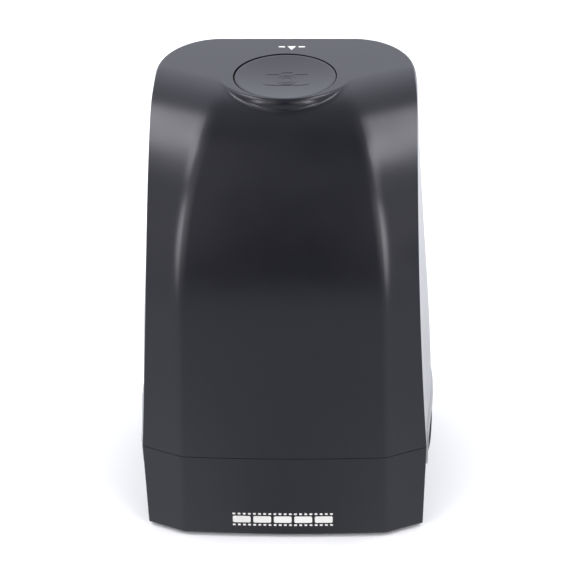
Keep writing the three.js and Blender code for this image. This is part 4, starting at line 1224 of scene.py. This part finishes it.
def detent_spring(side):
    """A wound spring between the bottom plate and a detent."""
    node = "detent_spring_" + side
    low, high = [[value / MM for value in corner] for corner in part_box(node)]
    x, y = (low[0] + high[0]) / 2, (low[1] + high[1]) / 2
    bottom = low[2] - STAND + SPRING_WIRE / 2
    top = high[2] - STAND - SPRING_WIRE / 2
    rings = []
    steps = SPRING_TURNS * SPRING_STEPS
    for step in range(steps + 1):
        turn = 2 * math.pi * step / SPRING_STEPS
        height = bottom + (top - bottom) * step / steps
        ring = round_outline(SPRING_RADIUS, height, SPRING_WIRE / 2, SPRING_WIRE_SIDES)
        rings.append([(x + radius * math.cos(turn), y + radius * math.sin(turn), z) for radius, z in ring])
    coil = loft(node + "_coil", rings)
    face_outwards(coil)
    smooth(coil, SPRING_SMOOTH_ANGLE)
    finish_piece(coil, "screw_steel", node)
    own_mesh(coil)


# Carried-over pieces.

def finish_nodes():
    for part in frame["record"]["subparts"]:
        node = frame["nodes"][part["node"]]
        node.data.materials.clear()
        node.data.materials.append(FINISHES[part["material_slot"]])


# Camera, floor and light.

AIM = Vector((0, 0, 62.8)) * MM
CAMERA_AZIMUTH = math.radians(2.42)
CAMERA_ELEVATION = math.radians(29.63)
CAMERA_ROLL = math.radians(-1.04)
CAMERA_DISTANCE = 0.9
CAMERA_LENS = 187.28
CAMERA_SHIFT = (0.0025, -0.0084)


def camera():
    flat = math.cos(CAMERA_ELEVATION)
    back = Vector((
        math.sin(CAMERA_AZIMUTH) * flat,
        -math.cos(CAMERA_AZIMUTH) * flat,
        math.sin(CAMERA_ELEVATION),
    ))
    right = UP.cross(back).normalized()
    up = back.cross(right)
    rolled_right = math.cos(CAMERA_ROLL) * right + math.sin(CAMERA_ROLL) * up
    rolled_up = math.cos(CAMERA_ROLL) * up - math.sin(CAMERA_ROLL) * right
    turn = Matrix((rolled_right, rolled_up, back)).transposed().to_4x4()
    data = bpy.data.cameras.new("camera")
    data.lens = CAMERA_LENS
    data.shift_x, data.shift_y = CAMERA_SHIFT
    obj = placed("camera", data)
    obj.matrix_world = Matrix.Translation(AIM + back * CAMERA_DISTANCE) @ turn
    bpy.context.scene.camera = obj


FLOOR_TONE = (0.72, 0.72, 0.70)
FLOOR_SEEN_TONE = (1.0, 1.0, 0.95)
REFLECTED_TONE = (1.0, 1.03, 1.12)
FLOOR_REACH = 3.0
FLOOR_ROUGHNESS = 0.9

# The studio's light by direction: azimuths are degrees from the front, heights are degrees above the
# floor. The front has its own levels, and hands over to the rest by SIDE_SHARE.
SKY_TONE = (1.0, 1.025, 1.14)
LAMP_TONE = (1.0, 0.985, 1.06)
MIDDLE_AZIMUTH = -2.5
SKY_BY_HEIGHT = [
    (0, 1.1), (7, 1.0), (18, 1.3), (30, 1.38), (42, 1.6), (52, 1.42),
    (60, 1.08), (66, 0.68), (72, 0.54), (78, 0.46), (90, 0.38),
]
FRONT_BY_HEIGHT = [
    (0, 0.74), (7, 0.7), (10, 0.5), (12, 0.1), (18, 0.06), (24, 0.08), (30, 0.1), (36, 0.12), (42, 0.18),
    (48, 0.3), (54, 0.33), (60, 0.24), (66, 0.2), (72, 0.18), (78, 0.2), (84, 0.26), (90, 0.35),
]
SIDE_SHARE = [(0, 0.0), (10, 0.05), (20, 0.16), (45, 0.38), (60, 0.5), (110, 0.9), (180, 1.0)]
SEEN_LEVEL = 1.2

# Each lamp's centre, half size and soft edge, as an azimuth and a height. Its climb raises it for each
# degree further from its own middle to the back.
Lamp = namedtuple("Lamp", "centre half soft power climb", defaults=[0.0])
LAMPS = [
    Lamp((-90, 59.0), (31, 6.0), (14, 8), 6.2, climb=0.06),
    Lamp((85.5, 59.8), (34.5, 6.2), (14, 6), 6.0, climb=0.1),
    Lamp((-41, 24), (4.5, 13), (6, 9), 6.2),
    Lamp((36, 24), (4.5, 13), (6, 8), 7.2),
    Lamp((-31, 29), (17, 13), (22, 12), 1.25),
    Lamp((28, 30), (15.5, 12), (22, 12), 1.2),
    Lamp((-57, 50), (6, 4), (7, 6), 3.6),
    Lamp((44, 48.5), (6, 4), (8, 6), 2.6),
    Lamp((-36, 59), (21, 15), (26, 14), 0.6),
    Lamp((-80, 74), (42, 7), (40, 12), 0.14),
]

# The floor's level in reflections, by azimuth from the back round the left side, in degrees.
FLOOR_BY_AZIMUTH = [
    (0, 0.93), (90, 0.99), (125, 1.03), (140, 1.05), (153, 0.98), (163, 0.87), (170, 0.77), (178, 0.7),
    (186, 0.71), (195, 0.77), (208, 0.9), (222, 0.99), (232, 0.91), (245, 0.85), (270, 0.88), (360, 0.93),
]


def sky_level(nodes, azimuth, height):
    above = nodes.math("MAXIMUM", height, 0.0)
    from_middle = nodes.math("ABSOLUTE", nodes.math("SUBTRACT", azimuth, MIDDLE_AZIMUTH))
    share = nodes.curve(from_middle, SIDE_SHARE)
    return nodes.mix(share, nodes.curve(above, FRONT_BY_HEIGHT), nodes.curve(above, SKY_BY_HEIGHT))


def lamp_level(nodes, azimuth, height):
    total = 0.0
    for lamp in LAMPS:
        azimuth_centre, height_centre = lamp.centre
        across = nodes.window(azimuth, azimuth_centre, lamp.half[0], lamp.soft[0])
        away = nodes.math("SUBTRACT", azimuth, azimuth_centre)
        rise = nodes.math("MULTIPLY", away, math.copysign(lamp.climb, azimuth_centre))
        up = nodes.window(nodes.math("SUBTRACT", height, rise), height_centre, lamp.half[1], lamp.soft[1])
        level = nodes.math("MULTIPLY", nodes.math("MULTIPLY", across, up), lamp.power)
        total = nodes.math("ADD", level, total)
    return total


def studio():
    """The world: a light tent that is dim at the front, with soft lamps in it."""
    world = bpy.data.worlds.new("studio")
    world.use_nodes = True
    bpy.context.scene.world = world
    nodes = Nodes(world.node_tree)
    x, y, z = nodes.split("Generated")
    azimuth = nodes.azimuth(x, y)
    height = nodes.math("MULTIPLY", nodes.math("ARCSINE", z), 180 / math.pi)
    seen = nodes.light_path("Is Camera Ray")
    both = nodes.new("AddShader")
    layers = (
        (world.node_tree.nodes["Background"], SKY_TONE, sky_level, SEEN_LEVEL),
        (nodes.new("Background"), LAMP_TONE, lamp_level, 0.0),
    )
    for place, (layer, tone, level, seen_level) in enumerate(layers):
        layer.inputs["Color"].default_value = (*tone, 1)
        nodes.feed(nodes.mix(seen, level(nodes, azimuth, height), seen_level), layer.inputs["Strength"])
        nodes.feed(layer.outputs[0], both.inputs[place])
    nodes.feed(both.outputs[0], world.node_tree.nodes["World Output"].inputs["Surface"])


def floor():
    corners = [(-1, -1), (1, -1), (1, 1), (-1, 1)]
    mesh = bpy.data.meshes.new("floor")
    mesh.from_pydata([(x * FLOOR_REACH, y * FLOOR_REACH, 0) for x, y in corners], [], [(0, 1, 2, 3)])
    placed("floor", mesh)
    surface = Surface("pale_floor")
    tones = [(*tone, 1) for tone in (FLOOR_TONE, FLOOR_SEEN_TONE)]
    surface.put(surface.mix_colour(surface.light_path("Is Camera Ray"), *tones), "Base Color")
    surface.put(FLOOR_ROUGHNESS, "Roughness")
    surface.put(0.0, "Specular IOR Level")
    glow = surface.new("Emission")
    glow.inputs["Color"].default_value = (*REFLECTED_TONE, 1)
    x, y, _ = surface.split("Object")
    round_back = surface.math("ADD", surface.azimuth(x, y), 180.0)
    surface.feed(surface.curve(round_back, FLOOR_BY_AZIMUTH), glow.inputs["Strength"])
    either = surface.new("MixShader")
    outputs = (surface.light_path("Is Glossy Ray"), surface.shader.outputs[0], glow.outputs[0])
    for output, socket in zip(outputs, either.inputs):
        surface.feed(output, socket)
    surface.feed(either.outputs[0], surface.tree.nodes["Material Output"].inputs["Surface"])
    mesh.materials.append(surface.material)


camera()
studio()
floor()

finish_nodes()
front_cover()
base_cover()
rear_cover()
side_panels()
usb_socket()
capture_button()
button_pictogram()
film_strip_mark()
pointer_mark()
underside()
for side in ("left", "right"):
    detent_spring(side)

scene = bpy.context.scene
scene.view_settings.view_transform = "Standard"
